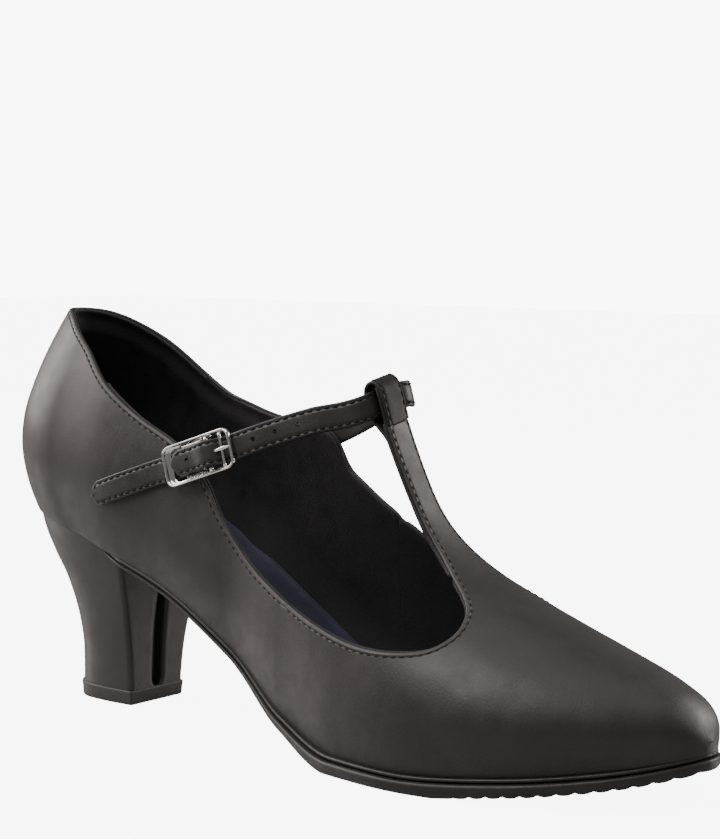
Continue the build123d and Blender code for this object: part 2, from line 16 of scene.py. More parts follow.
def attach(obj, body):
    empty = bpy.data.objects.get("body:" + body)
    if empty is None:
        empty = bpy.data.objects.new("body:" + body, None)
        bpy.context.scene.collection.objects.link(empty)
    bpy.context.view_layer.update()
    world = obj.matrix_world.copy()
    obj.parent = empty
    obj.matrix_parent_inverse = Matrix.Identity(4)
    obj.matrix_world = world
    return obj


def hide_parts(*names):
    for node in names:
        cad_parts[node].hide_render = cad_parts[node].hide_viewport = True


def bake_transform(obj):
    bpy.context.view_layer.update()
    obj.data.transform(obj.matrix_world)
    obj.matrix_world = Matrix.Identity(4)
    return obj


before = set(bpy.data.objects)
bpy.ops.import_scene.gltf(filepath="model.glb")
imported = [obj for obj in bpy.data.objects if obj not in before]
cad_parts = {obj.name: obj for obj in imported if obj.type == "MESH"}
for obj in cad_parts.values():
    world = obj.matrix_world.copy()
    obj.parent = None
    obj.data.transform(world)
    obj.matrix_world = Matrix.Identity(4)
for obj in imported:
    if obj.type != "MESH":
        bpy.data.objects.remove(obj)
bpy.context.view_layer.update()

# ---- driving dimensions, millimetres
LENGTH = 245.0
ORIGIN_X = 33.0             # the frame's origin, measured from the back of the last
LEATHER = 1.1
LINING_OUT, LINING_IN = 1.15, 2.4
SEAM_X = 128.0              # inner side: quarter behind, vamp in front
SEAT_ROUND = 30.0
WELT = 1.4
SOLE_START = 47.0
STRAP_WIDTH, STRAP_THICK = 8.0, 1.6
STITCH_EVERY, STITCH_LONG, STITCH_THICK = 2.5, 1.7, 0.26
SEWN_IN = 0.95              # stitch line of the topline, inside the leather's rolled edge
T_HALF = 5.2
T_TOP = np.array([138.3, 0, 108.4])
T_UP = np.array([-0.314, 0, 0.949])
T_OUT = np.array([0.949, 0, 0.314])
T_LEAN, T_TILT = 2.1, 0.19  # the T-strap's top stands further to the inner side, and higher there
FOOT_X, FOOT_IN = 159.0, 1.0        # the T-strap's foot is drawn in here
LOOP_LOW = -12.6            # where the folded end of the T-strap starts, below its top
LOOP_TOP, LOOP_MIDDLE, LOOP_HALF = 0.3, -3.35, 2.95
STRAP_STEP = 0.45


# ---- small mathematics
def unit(v):
    v = np.asarray(v, float)
    return v / np.maximum(np.linalg.norm(v, axis=-1, keepdims=True), 1e-12)


def curve(*knots):
    """Monotone cubic through (x, value) knots."""
    x, y = np.array(knots, float).T
    gap = np.diff(x)
    rise = np.diff(y) / gap
    slope = np.zeros(len(x))
    for i in range(1, len(gap)):
        if rise[i - 1] * rise[i] > 0:
            a, b = 2 * gap[i] + gap[i - 1], gap[i] + 2 * gap[i - 1]
            slope[i] = (a + b) / (a / rise[i - 1] + b / rise[i])
    for end, one, two in ((0, 0, 1), (-1, -1, -2)):
        d = ((2 * gap[one] + gap[two]) * rise[one] - gap[one] * rise[two]) / (gap[one] + gap[two])
        if d * rise[one] <= 0:
            d = 0.0
        elif rise[one] * rise[two] <= 0 and abs(d) > 3 * abs(rise[one]):
            d = 3 * rise[one]
        slope[end] = d

    def value(at):
        at = np.clip(at, x[0], x[-1])
        i = np.clip(np.searchsorted(x, at, side="right") - 1, 0, len(gap) - 1)
        t = (at - x[i]) / gap[i]
        low = (1 + 2 * t) * (1 - t) ** 2 * y[i] + t * (1 - t) ** 2 * gap[i] * slope[i]
        return low + t * t * (3 - 2 * t) * y[i + 1] + t * t * (t - 1) * gap[i] * slope[i + 1]

    return value


def run_length(points):
    """Distance along a polyline at each of its points."""
    return np.concatenate([[0], np.cumsum(np.linalg.norm(np.diff(points, axis=0), axis=1))])


def spline(points, count):
    """Evenly spaced points on the natural cubic spline through the given points."""
    p = np.array(points, float)
    s = run_length(p)
    h = np.diff(s)[:, None]
    n = len(p)
    matrix, right = np.eye(n), np.zeros_like(p)
    for i in range(1, n - 1):
        matrix[i, i - 1:i + 2] = h[i - 1, 0], 2 * (h[i - 1, 0] + h[i, 0]), h[i, 0]
        right[i] = 6 * ((p[i + 1] - p[i]) / h[i] - (p[i] - p[i - 1]) / h[i - 1])
    bend = np.linalg.solve(matrix, right)
    u = np.linspace(0, s[-1], count)
    i = np.clip(np.searchsorted(s, u, side="right") - 1, 0, n - 2)
    a, b, g = (s[i + 1] - u)[:, None], (u - s[i])[:, None], h[i]
    line = (bend[i] * a ** 3 + bend[i + 1] * b ** 3) / (6 * g)
    return line + (p[i] / g - bend[i] * g / 6) * a + (p[i + 1] / g - bend[i + 1] * g / 6) * b


def even(points, step):
    """The polyline again, with its points a fixed distance apart."""
    p = np.asarray(points, float)
    s = run_length(p)
    u = np.linspace(0, s[-1], max(2, int(round(s[-1] / step)) + 1))
    return np.stack([np.interp(u, s, p[:, k]) for k in range(p.shape[1])], 1)


def distance_to_line(q, line):
    """Distance of each 2-D point to a polyline."""
    out = np.full(len(q), 1e9)
    for a, b in zip(line[:-1], line[1:]):
        d = b - a
        t = np.clip(((q - a) @ d) / max(d @ d, 1e-12), 0, 1)
        out = np.minimum(out, np.hypot(*(q - a - t[:, None] * d).T))
    return out


def soft_least(a, b, k):
    """The lesser of two fields, with the corner between them rounded over k."""
    h = np.clip(0.5 + 0.5 * (b - a) / k, 0, 1)
    return b * (1 - h) + a * h - k * h * (1 - h)


# ---- the last
feather = curve((0, 62.5), (25, 59), (50, 52), (75, 42.5), (100, 28.5), (125, 12), (148, 5.2),
                (170, 5), (200, 7.2), (225, 10.5), (245, 15))
outer_half = curve((0, 25.5), (30, 25.5), (50, 26.5), (75, 25), (100, 25), (125, 29.5), (150, 35),
                   (170, 37), (190, 34.5), (205, 30), (220, 23), (232, 16), (240, 9.6), (243.2, 5.7),
                   (244.4, 3.1), (244.85, 1.6), (245, 0))
inner_half = curve((0, 25.5), (50, 25.5), (75, 22), (100, 20), (125, 23), (150, 31), (170, 36),
                   (190, 35.5), (205, 32), (220, 26), (232, 18.5), (240, 11.5), (243.2, 6.6),
                   (244.4, 3.5), (244.85, 1.8), (245, 0))
middle = curve((0, 0), (150, 0), (245, 5))
ridge = curve((0, 135), (100, 135), (120, 128), (138, 109), (142.6, 95.4), (150, 81.7), (160, 68),
              (173.4, 55.6), (190, 47.0), (210, 39.3), (230, 31.9), (237, 28.5), (242, 24), (245, 18))
bulge = curve((0, 5), (60, 5), (110, 3), (160, 3), (200, 2.5), (245, 1))
widest = curve((0, 22), (60, 22), (120, 18), (160, 14), (200, 11), (235, 8), (245, 3))
crown = curve((0, 1.6), (60, 1.6), (120, 1.0), (245, 1.0))
lean = curve((0, 2.7), (10, -0.7), (22, -2.3), (30, -1.5), (41, 1.9), (52, 5.8), (62, 9.5), (80, 17))


def half_width(t, h, side):
    """Half width of the last at station t and height h above the feather edge."""
    w = np.where(side < 0, outer_half(t), inner_half(t))
    full = w + bulge(t) * np.minimum(1.0, w / 12)
    top = ridge(t) - feather(t)
    belly = np.minimum(widest(t), top / 2)
    low = w + (full - w) * np.sin(np.clip(h / belly, 0, 1) * np.pi / 2)
    s = np.clip((h - belly) / (top - belly), 0, 1)
    high = full * np.sqrt(1 - s * s) ** crown(t)
    back = 1 - np.clip(t / SEAT_ROUND, 0, 1)
    return np.where(h < belly, low, high) * np.sqrt(1 - back * back)


def last_point(t, h, side):
    x = t + lean(h) * np.clip(1 - t / 60, 0, 1) ** 1.5
    return np.stack([x, side * half_width(t, h, side) + middle(t), feather(t) + h], -1)


def stations(count, low=0.0, high=LENGTH):
    """Stations along the last, closer together at its round ends and on its steep front."""
    t = np.linspace(0, LENGTH, 6001)[1:-1]
    steep = np.hypot(1, np.gradient(ridge(t), t))
    weight = steep + 2.2 / np.sqrt(t / 4) + 3.5 / np.sqrt((LENGTH - t) / 4)
    keep = (t > low) & (t < high)
    t, weight = t[keep], weight[keep]
    s = np.concatenate([[0], np.cumsum((weight[1:] + weight[:-1]) / 2)])
    rows = np.interp(np.linspace(0, s[-1], count), s, t)
    rows[0], rows[-1] = low, high
    return rows


ROWS, HALF_COLUMNS = 360, 84
COLUMNS = 2 * HALF_COLUMNS + 1


def last_grid():
    """Grid of the whole last: rows from back to toe, columns from the outer feather edge over the ridge."""
    t = stations(ROWS)[:, None]
    j = np.arange(COLUMNS)[None, :]
    side = np.where(j < HALF_COLUMNS, -1.0, 1.0)
    turn = np.where(j <= HALF_COLUMNS, j, 2 * HALF_COLUMNS - j) / HALF_COLUMNS * np.pi / 2
    h = (ridge(t) - feather(t)) * np.sin(turn)
    return last_point(t + 0 * h, h, side + 0 * h), side + 0 * h


def grid_faces(rows, columns, index=None):
    """Quads of a grid, as vertex numbers."""
    index = np.arange(rows * columns).reshape(rows, columns) if index is None else index
    quads = np.stack([index[:-1, :-1], index[1:, :-1], index[1:, 1:], index[:-1, 1:]], -1)
    return quads.reshape(-1, 4)


def vertex_normals(points, faces):
    """Area-weighted normals of a mesh given as an array of quads."""
    a, b, c, d = (points[faces[:, k]] for k in range(4))
    across = np.cross(c - a, d - b)
    out = np.zeros_like(points)
    for k in range(4):
        np.add.at(out, faces[:, k], across)
    return unit(out)


GRID, GRID_SIDE = last_grid()
GRID_INDEX = np.arange(ROWS * COLUMNS).reshape(ROWS, COLUMNS)
for end in (0, ROWS - 1):
    GRID_INDEX[end, HALF_COLUMNS + 1:] = GRID_INDEX[end, :HALF_COLUMNS][::-1]
LAST = GRID.reshape(-1, 3)
LAST_SIDE = GRID_SIDE.reshape(-1)
LAST_FACES = grid_faces(ROWS, COLUMNS, GRID_INDEX)
LAST_NORMALS = vertex_normals(LAST, LAST_FACES)
LAST_TREE = BVHTree.FromPolygons([Vector(p) for p in LAST], [tuple(f) for f in LAST_FACES])

# ---- where the shoe is open
TOP_BACK = ((-12, 126.5), (9.6, 126.2), (15, 125.6), (22, 123), (28, 119.5), (35, 115), (41, 110),
            (48, 104.2), (56, 99.2))
TOP_OUTER = TOP_BACK + ((63, 95.2), (71, 91.4), (79, 87.6), (86, 82.6), (92, 77.4), (97, 69.5),
                        (105, 59.8), (112, 54), (120, 49.6), (130, 45.1), (142, 41.1), (152, 38.5),
                        (165, 37.3), (173, 37.9), (178.4, 39.4), (181.5, 42.2), (182.6, 46))
TOP_INNER = TOP_BACK + ((64, 97), (74, 94.6), (86, 92.6), (97, 91.2), (104.5, 89), (107.4, 84.5),
                        (108.6, 80), (113.5, 75.6), (119, 71.1), (127, 65.5), (136.6, 58.5),
                        (147, 52.6), (158, 48), (168, 43.6), (176, 42.6), (181, 44), (182.6, 46.5))
strap_half = curve((126, T_HALF), (140, T_HALF), (153, 5.0), (160, 5.9), (166, 7.6), (172, 10.6),
                   (177.6, 13.8), (181, 17.5), (184, 26))


STRAP_FROM, FAR = 120.0, 50.0           # the T-strap lies in front of this; far from any edge


def above_topline(points, side):
    """Signed distance above the topline in side view."""
    out = np.zeros(len(points))
    for sign, outline in ((-1, TOP_OUTER), (1, TOP_INNER)):
        line = spline(outline, 260)
        here = side == sign
        q = points[here][:, [0, 2]]
        far = distance_to_line(q, line)
        edge = np.interp(q[:, 0], line[:, 0], line[:, 1], right=1e3)
        out[here] = np.where(q[:, 1] > edge, far, -far)
    return out


def beside_strap(points):
    """Signed distance outside the T-strap in plan."""
    out = np.abs(points[:, 1]) - strap_half(points[:, 0])
    return np.where(points[:, 0] > STRAP_FROM, out, FAR)


def above_strap(points, up):
    """Signed distance above a level of the T-strap, for the front of the shoe only."""
    out = (points - T_TOP) @ T_UP - up
    return np.where(points[:, 0] > STRAP_FROM, out, -FAR)


BESIDE_STRAP = beside_strap(LAST)
CORNER_ROUND, EDGE_TRIM = 4.0, 0.35     # where topline and T-strap meet, and all along the opening
OPEN = soft_least(above_topline(LAST, LAST_SIDE), BESIDE_STRAP, CORNER_ROUND) + EDGE_TRIM
OPEN = np.maximum(OPEN, above_strap(LAST, LOOP_LOW))
FACE_COLUMN = np.tile(np.arange(COLUMNS - 1), ROWS - 1)
FACE_X = LAST[LAST_FACES[:, 1], 0]


def ease(v):
    """Smooth step from 0 to 1."""
    v = np.clip(v, 0, 1)
    return v * v * (3 - 2 * v)


def settle(points, rise=0.9, reach=12.0, fade=4.0):
    """The T-strap's top leans to the inner side and is higher there, and takes the ankle strap along."""
    p = np.asarray(points, float)
    y = p[:, 1]
    share = ease(((p - T_TOP) @ T_UP + 50) / 40) * ease((reach - np.abs(y)) / fade) * (p[:, 0] > 112)
    move = T_UP * (T_TILT * y + rise)[:, None] + (0, T_LEAN, 0)
    foot = np.exp(-((p[:, 0] - FOOT_X) / 11) ** 2) * ease((19 - np.abs(y)) / 8) * (p[:, 2] > 40)
    return p + share[:, None] * move - FOOT_IN * foot[:, None] * np.array((0.75, 0, 0.66))


def trim(field, mask=None):
    """The last's surface where the field is below 0: points, normals, faces."""
    points, normals, value = LAST.copy(), LAST_NORMALS.copy(), field.copy()
    quads = LAST_FACES if mask is None else LAST_FACES[mask]
    edges = np.concatenate([quads[:, [k, (k + 1) % 4]] for k in range(4)])
    edges = np.unique(np.sort(edges, axis=1), axis=0)
    a, b = edges.T
    cross = (value[a] < 0) != (value[b] < 0)
    a, b = a[cross], b[cross]
    share = value[a] / (value[a] - value[b])
    moved = np.zeros(len(points), bool)
    for ones, others, at in ((a, b, share), (b, a, 1 - share)):
        for i in np.nonzero(at < 0.25)[0]:
            p, q = ones[i], others[i]
            if not moved[p] and not moved[q]:
                points[p] = LAST[p] + (LAST[q] - LAST[p]) * at[i]
                normals[p] = unit(LAST_NORMALS[p] * (1 - at[i]) + LAST_NORMALS[q] * at[i])
                value[p] = 0.0
                moved[p] = True
    points, normals = list(points), list(normals)
    made = {}

    def between(p, q):
        key = (min(p, q), max(p, q))
        if key not in made:
            s = value[p] / (value[p] - value[q])
            made[key] = len(points)
            points.append(points[p] + (points[q] - points[p]) * s)
            normals.append(unit(normals[p] + (normals[q] - normals[p]) * s))
        return made[key]

    faces = []
    for quad in quads:
        inside = value[quad] <= 0
        if not inside.any():
            continue
        if inside.all() and (value[quad] < 0).any():
            ring = list(quad)
        else:
            ring = []
            for p, q in zip(quad, np.roll(quad, -1)):
                if value[p] <= 0:
                    ring.append(p)
                if value[p] * value[q] < 0:
                    ring.append(between(p, q))
        ring = [p for k, p in enumerate(ring) if p != ring[k - 1]]
        if len(ring) > 2 and any(value[p] < 0 for p in ring if p < len(value)):
            faces.append(ring)
    used = sorted({p for f in faces for p in f})
    number = {p: k for k, p in enumerate(used)}
    points = np.array([points[p] for p in used])
    normals = np.array([normals[p] for p in used])
    return points, normals, [[number[p] for p in f] for f in faces]


def chains(faces):
    """Border of a mesh as loops of vertex numbers, with the faces on their left."""
    half = {}
    for f in faces:
        for a, b in zip(f, f[1:] + f[:1]):
            half[(a, b)] = True
    after = {a: b for a, b in half if (b, a) not in half}
    loops = []
    while after:
        start = next(iter(after))
        loop, at = [start], after.pop(start)
        while at != start and at in after:
            loop.append(at)
            at = after.pop(at)
        loops.append(loop)
    return loops


def calm(points, loop, rounds=6):
    """Takes the small steps out of a border."""
    for _ in range(rounds):
        p = points[loop]
        mean = (np.roll(p, 1, axis=0) + np.roll(p, -1, axis=0)) / 2
        gap = np.linalg.norm(np.roll(p, 1, axis=0) - np.roll(p, -1, axis=0), axis=1)
        bend = np.linalg.norm(mean - p, axis=1) / np.maximum(gap, 1e-9)
        points[loop] = np.where((bend < 0.35)[:, None], p * 0.5 + mean * 0.5, p)


def sheet_mesh(surface, outer, inner, rim=5):
    """Closed sheet between two depths below a surface, with its edges rounded."""
    points, normals, faces = surface
    count = len(points)
    inner = np.broadcast_to(np.asarray(inner, float).reshape(-1, 1), (count, 1))
    top, low = points - normals * outer, points - normals * inner
    verts = [top, low]
    rings = [list(f) for f in faces] + [[p + count for p in f[::-1]] for f in faces]
    total = 2 * count
    for loop in chains(faces):
        p, n = points[loop], normals[loop]
        along = unit(np.roll(p, -1, axis=0) - np.roll(p, 1, axis=0))
        away = unit(np.cross(along, n))
        deep = inner[loop]
        ids = [np.array(loop)]
        for k in range(1, rim):
            angle = math.pi * k / rim
            arc = n * math.cos(angle) + away * math.sin(angle)
            verts.append(p - n * (outer + deep) / 2 + arc * (deep - outer) / 2)
            ids.append(np.arange(total, total + len(loop)))
            total += len(loop)
        ids.append(np.array(loop) + count)
        for one, two in zip(ids, ids[1:]):
            rings += np.stack([np.roll(one, -1), one, two, np.roll(two, -1)], 1).tolist()
    return np.concatenate(verts), rings


# ---- making pieces
def make(name, points, faces, material, slot, body="shoe", node=(), sharp=None, edge=None):
    """Mesh piece from millimetre points on the last, riding on a body and standing for CAD nodes."""
    mesh = bpy.data.meshes.new(name)
    places = (np.asarray(points, float) - (ORIGIN_X, 0, 0)) / 1000
    mesh.from_pydata(places.tolist(), [], [[int(i) for i in f] for f in faces])
    if edge is not None:
        mesh.attributes.new("edge", "FLOAT", "POINT").data.foreach_set("value", np.asarray(edge, float))
    work = bmesh.new()
    work.from_mesh(mesh)
    bmesh.ops.remove_doubles(work, verts=work.verts, dist=2e-6)
    bmesh.ops.dissolve_degenerate(work, dist=1e-7, edges=work.edges)
    bmesh.ops.recalc_face_normals(work, faces=work.faces)
    work.to_mesh(mesh)
    work.free()
    mesh.validate()
    mesh.polygons.foreach_set("use_smooth", [True] * len(mesh.polygons))
    if sharp:
        mesh.set_sharp_from_angle(angle=math.radians(sharp))
    mesh.materials.append(material)
    piece = bpy.data.objects.new(name, mesh)
    bpy.context.scene.collection.objects.link(piece)
    if body:
        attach(piece, body)
    if node:
        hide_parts(*node)
    return piece


def loft(rings, closed=True, capped=True):
    """Points and faces of a skin through rings of the same number of points."""
    rings = np.asarray(rings, float)
    rows, columns = rings.shape[:2]
    index = np.arange(rows * columns).reshape(rows, columns)
    if closed:
        index = np.concatenate([index, index[:, :1]], 1)
    faces = grid_faces(rows, columns, index).tolist()
    if capped:
        faces.append(list(range(columns))[::-1])
        faces.append(list(range((rows - 1) * columns, rows * columns)))
    return rings.reshape(-1, 3), faces


def strip(path, wide, widths, thick, dips=(), dip=0.26, low=-0.5):
    """Leather strip along a path: rounded edges, a slight crown and shallow sewn channels."""
    path = np.asarray(path, float)
    along = unit(np.gradient(path, axis=0))
    wide = np.asarray(wide, float)
    wide = unit(wide - along * np.sum(along * wide, axis=1, keepdims=True))
    up = np.cross(along, wide)
    widths = np.broadcast_to(widths, len(path)).astype(float)
    rings = []
    for p, w, u, width in zip(path, wide, up, widths):
        half = width / 2
        radius = min(thick / 2, half * 0.8)
        flat = half - radius
        across = np.linspace(-flat, flat, 33)
        crown_height = 0.10 * (1 - (across / max(half, 1e-6)) ** 2)
        sewn = np.zeros_like(across)
        for inset in dips:
            sewn += np.exp(-((np.abs(across) - (STRAP_WIDTH / 2 - inset)) / 0.42) ** 2)
        sewn = sewn * dip * min(1.0, max(0.0, half / (STRAP_WIDTH / 2)) ** 4)
        top = np.stack([across, thick * (low + 1) + crown_height - sewn], 1)
        turn = np.linspace(math.pi / 2, -math.pi / 2, 9)[1:-1]
        centre = thick * (low + 0.5)
        right = np.stack([flat + radius * np.cos(turn), centre + thick / 2 * np.sin(turn)], 1)
        bottom = np.stack([across[::-1][::4], np.full(9, thick * low)], 1)
        left = np.stack([-right[::-1, 0], right[::-1, 1]], 1)
        ring = np.concatenate([top, right, bottom, left])
        rings.append(p + ring[:, :1] * w + ring[:, 1:] * u)
    return loft(rings), up, wide


def round_end(path, width, ends=(True, False)):
    """Widths along a path with a half circle at its first end, its last end or both."""
    s = run_length(path)
    half = width / 2
    out = np.full(len(path), width)
    for on, reach in zip(ends, (s, s[-1] - s)):
        if on:
            near = np.clip(reach / half, 0, 1)
            out = np.minimum(out, width * np.sqrt(np.maximum(1 - (1 - near) ** 2, 0.004)))
    return out


def tube(path, radius, sides=12):
    """Round wire along a path; the radius may change along it."""
    path = np.asarray(path, float)
    along = unit(np.gradient(path, axis=0))
    normal = unit(np.cross(along[0], (0.3, 0.9, 0.2)))
    radii = np.broadcast_to(radius, len(path))
    rings = []
    turn = np.linspace(0, 2 * math.pi, sides, endpoint=False)
    for p, a, r in zip(path, along, radii):
        normal = unit(normal - a * (normal @ a))
        other = np.cross(a, normal)
        rings.append(p + r * (np.cos(turn)[:, None] * normal + np.sin(turn)[:, None] * other))
    return loft(rings)


def sewing(rows, sink=0.12):
    """Stitches along rows of (points, normals): each a short thread whose ends dive into the leather."""
    verts, faces, total = [], [], 0
    places = np.array([-1, -0.82, -0.4, 0, 0.4, 0.82, 1])
    fat = np.array([0.3, 0.8, 1, 1, 1, 0.8, 0.3])
    turn = np.linspace(0, 2 * math.pi, 7, endpoint=False)
    for points, normals in rows:
        s = run_length(points)
        count = int(s[-1] / STITCH_EVERY)
        for k in range(count):
            u = (k + 0.5) * s[-1] / count + places * STITCH_LONG / 2
            p = np.stack([np.interp(u, s, points[:, c]) for c in range(3)], 1)
            n = unit(np.stack([np.interp(u, s, normals[:, c]) for c in range(3)], 1))
            b = np.cross(n, unit(np.gradient(p, axis=0)))
            height = STITCH_THICK * 0.45 - sink - 0.22 * np.abs(places) ** 3
            size = (STITCH_THICK * fat)[:, None, None]
            ring = np.cos(turn)[None, :, None] * b[:, None] + 0.8 * np.sin(turn)[None, :, None] * n[:, None]
            more, skin = loft((p + n * height[:, None])[:, None] + size * ring)
            faces += [[i + total for i in face] for face in skin]
            verts.append(more)
            total += len(more)
    return np.concatenate(verts), faces


# ---- materials
def textured(name, dark, light, rough, grain=1500.0, depth=0.05, sway=0.0, metal=0.0, patch=60.0,
             sewn_groove_and_painted_shade=False, specular=0.5):
    """Procedural surface: two tones in soft patches, uneven gloss, fine grain and a slow sway.

    The sewn groove along the topline is drawn from each point's distance to the edge: a bump, with painted
    shade darkening the groove and a lighter band on the rolled edge beside it, partly painted highlight and
    partly edge wear, overlaid on the colour.
    """
    material = bpy.data.materials.new(name)
    material.use_nodes = True
    nodes, link = material.node_tree.nodes, material.node_tree.links.new
    shader = nodes["Principled BSDF"]
    shader.inputs["Metallic"].default_value = metal
    shader.inputs["Specular IOR Level"].default_value = specular
    place = nodes.new("ShaderNodeTexCoord").outputs["Object"]

    def add(kind, **values):
        node = nodes.new("ShaderNode" + kind)
        for socket, value in values.items():
            node.inputs[socket.replace("_", " ")].default_value = value
        return node

    def noise(scale, detail=3.0):
        node = add("TexNoise", Scale=scale, Detail=detail)
        link(place, node.inputs["Vector"])
        return node.outputs["Fac"]

    def bump(height, strength, distance, under=None):
        node = add("Bump", Strength=strength, Distance=distance / 1000)
        link(height, node.inputs["Height"])
        if under:
            link(under, node.inputs["Normal"])
        return node.outputs["Normal"]

    ramp = add("ValToRGB")
    for stop, at, tone in zip(ramp.color_ramp.elements, (0.3, 0.72), (dark, light)):
        stop.position = at
        stop.color = (*tone, 1)
    link(noise(patch, 4.0), ramp.inputs["Fac"])
    colour = ramp.outputs["Color"]

    gloss = add("MapRange", From_Min=0.3, From_Max=0.7, To_Min=rough[0], To_Max=rough[1])
    link(noise(patch * 3.1, 5.0), gloss.inputs["Value"])
    link(gloss.outputs["Result"], shader.inputs["Roughness"])

    cells = add("TexVoronoi", Scale=grain, Detail=3.0)
    cells.feature = "SMOOTH_F1"
    link(place, cells.inputs["Vector"])
    slow = bump(noise(55.0, 2.0), 1.0, sway) if sway else None
    normal = bump(cells.outputs["Distance"], 0.6, depth, slow)

    # Topline groove: painted shade darkens the groove, and a lighter band on the rolled edge, partly painted
    # highlight and partly edge wear, is overlaid on the base colour; the same ramp also bumps the surface.
    if sewn_groove_and_painted_shade:
        edge = nodes.new("ShaderNodeAttribute")
        edge.attribute_name = "edge"
        sewn = add("ValToRGB")
        stops = sewn.color_ramp.elements
        stops[0].position, stops[1].position = 0.0, 1.0
        for at, value in ((0.0, 0.75), (0.06, 0.95), (0.13, 0.75), (0.19, 0.0), (0.25, 0.5), (0.45, 0.5)):
            stop = stops.new(at)
            stop.color = (value, value, value, 1)
        stops[0].color = stops[-1].color = (0.5, 0.5, 0.5, 1)
        reach = nodes.new("ShaderNodeMath")
        reach.operation = "MULTIPLY"
        reach.inputs[1].default_value = 0.2
        link(edge.outputs["Fac"], reach.inputs[0])
        link(reach.outputs[0], sewn.inputs["Fac"])
        shade = add("Mix")
        shade.data_type = "RGBA"
        shade.blend_type = "OVERLAY"
        shade.inputs["Factor"].default_value = 0.6
        link(colour, shade.inputs["A"])
        link(sewn.outputs["Color"], shade.inputs["B"])
        colour = shade.outputs["Result"]
        normal = bump(sewn.outputs["Color"], 1.0, 0.35, normal)

    link(normal, shader.inputs["Normal"])
    link(colour, shader.inputs["Base Color"])
    return material


# The upper's leather carries painted shade in the topline's sewn groove and a lighter rolled edge, partly
# painted highlight and partly wear.
leather = textured("smooth leather", (0.023, 0.0195, 0.018), (0.031, 0.0265, 0.0245), (0.38, 0.5),
                   grain=1900, depth=0.035, sway=0.25, sewn_groove_and_painted_shade=True)
strap_leather = textured("strap leather", (0.016, 0.0145, 0.014), (0.024, 0.0215, 0.0205), (0.36, 0.5),
                         grain=1700, depth=0.05, sway=0.35)
# The strap's leather painted darker for the folded end: painted shade for its steeper face, which takes less
# light.
loop_leather_painted_shade = textured("folded leather painted shade", (0.011, 0.0102, 0.0095), (0.017, 0.0155, 0.0145), (0.5, 0.62),
                        specular=0.3)
lining_cloth = textured("lining", (0.004, 0.0035, 0.004), (0.008, 0.0072, 0.0085), (0.6, 0.8),
                        grain=1400, depth=0.06)
sock_skin = textured("sock", (0.03, 0.03, 0.05), (0.045, 0.044, 0.075), (0.35, 0.5), grain=1300,
                     depth=0.06, sway=0.3, patch=45)
heel_skin = textured("heel cover", (0.026, 0.023, 0.021), (0.034, 0.030, 0.028), (0.36, 0.46),
                     grain=2100, depth=0.02)
sole_skin = textured("sole edge", (0.014, 0.013, 0.0125), (0.023, 0.021, 0.020), (0.35, 0.55),
                     grain=1200, depth=0.05, patch=120)
tip_skin = textured("heel tip", (0.030, 0.028, 0.026), (0.042, 0.040, 0.037), (0.45, 0.62), grain=1500,
                    depth=0.06)
thread = textured("thread", (0.002, 0.002, 0.002), (0.005, 0.005, 0.005), (0.7, 0.9), grain=5200,
                  depth=0.05, patch=400)
nickel = textured("polished nickel", (0.70, 0.68, 0.64), (0.82, 0.80, 0.77), (0.06, 0.15), grain=900,
                  depth=0.01, metal=1.0, patch=250)
steel = textured("steel", (0.4, 0.4, 0.4), (0.55, 0.55, 0.56), (0.28, 0.45), grain=700, depth=0.02,
                 metal=1.0, patch=200)
board = textured("fibre board", (0.30, 0.23, 0.15), (0.42, 0.33, 0.23), (0.8, 0.95), grain=900,
                 depth=0.08)
cloth = textured("stiffened cloth", (0.02, 0.02, 0.021), (0.035, 0.035, 0.036), (0.8, 0.95), grain=1100,
                 depth=0.1)

# ---- upper and lining
outer_face = FACE_COLUMN < HALF_COLUMNS
x_last = LAST[:, 0]
on_inner = LAST_SIDE > 0
strap_zone = np.maximum.reduce([BESIDE_STRAP - 0.1, x_last - 171, STRAP_FROM - x_last])
seam_cut = np.where(on_inner, SEAM_X + 0.1 - x_last, -FAR)


def lining_depth(points):
    """Depth of the lining's inner face: deeper over the heel counter, away from the topline."""
    side = np.where(points[:, 1] > middle(points[:, 0]), 1, -1)
    below = np.clip((-above_topline(points, side) - 2.5) / 4, 0, 1)
    over_heel = 1.5 * below * np.clip((84 - points[:, 0]) / 14, 0, 1)
    t_strap = ease((172 - points[:, 0]) / 9) * ease((points[:, 0] - 122) / 3)
    t_strap *= ease((14 - np.abs(points[:, 1])) / 5) * (points[:, 2] > feather(points[:, 0]) + 25)
    return LINING_IN + over_heel + 0.3 * t_strap


surfaces = {
    "upper": trim(np.maximum(OPEN, seam_cut), outer_face | (FACE_X > 110)),
    "medial_quarter": trim(np.maximum(OPEN, x_last - SEAM_X), ~outer_face & (FACE_X < 140)),
    "quarter_lining": trim(np.maximum(OPEN + 0.12, x_last - SEAM_X + 1)),
    "vamp_lining": trim(np.maximum.reduce([OPEN + 0.12, SEAM_X - 0.9 - x_last, -strap_zone])),
    "t_strap_lining": trim(np.maximum(OPEN + 0.12, strap_zone)),
}
for name, surface in surfaces.items():
    for loop in chains(surface[2]):
        calm(surface[0], loop)


def topline_part(p):
    return (p[:, 2] > feather(p[:, 0]) + 8) & (np.abs(p[:, 0] - SEAM_X) > 0.6)


def edge_distance(points, faces):
    """Distance of each point to the piece's topline."""
    line = []
    for loop in chains(faces):
        p = points[loop + loop[:1]]
        for k in np.linspace(0, 1, 6)[:-1]:
            mid = p[:-1] + (p[1:] - p[:-1]) * k
            line += list(mid[topline_part(mid)])
    tree = KDTree(len(line))
    for k, p in enumerate(line):
        tree.insert(p, k)
    tree.balance()
    return np.array([tree.find(p)[2] for p in points])


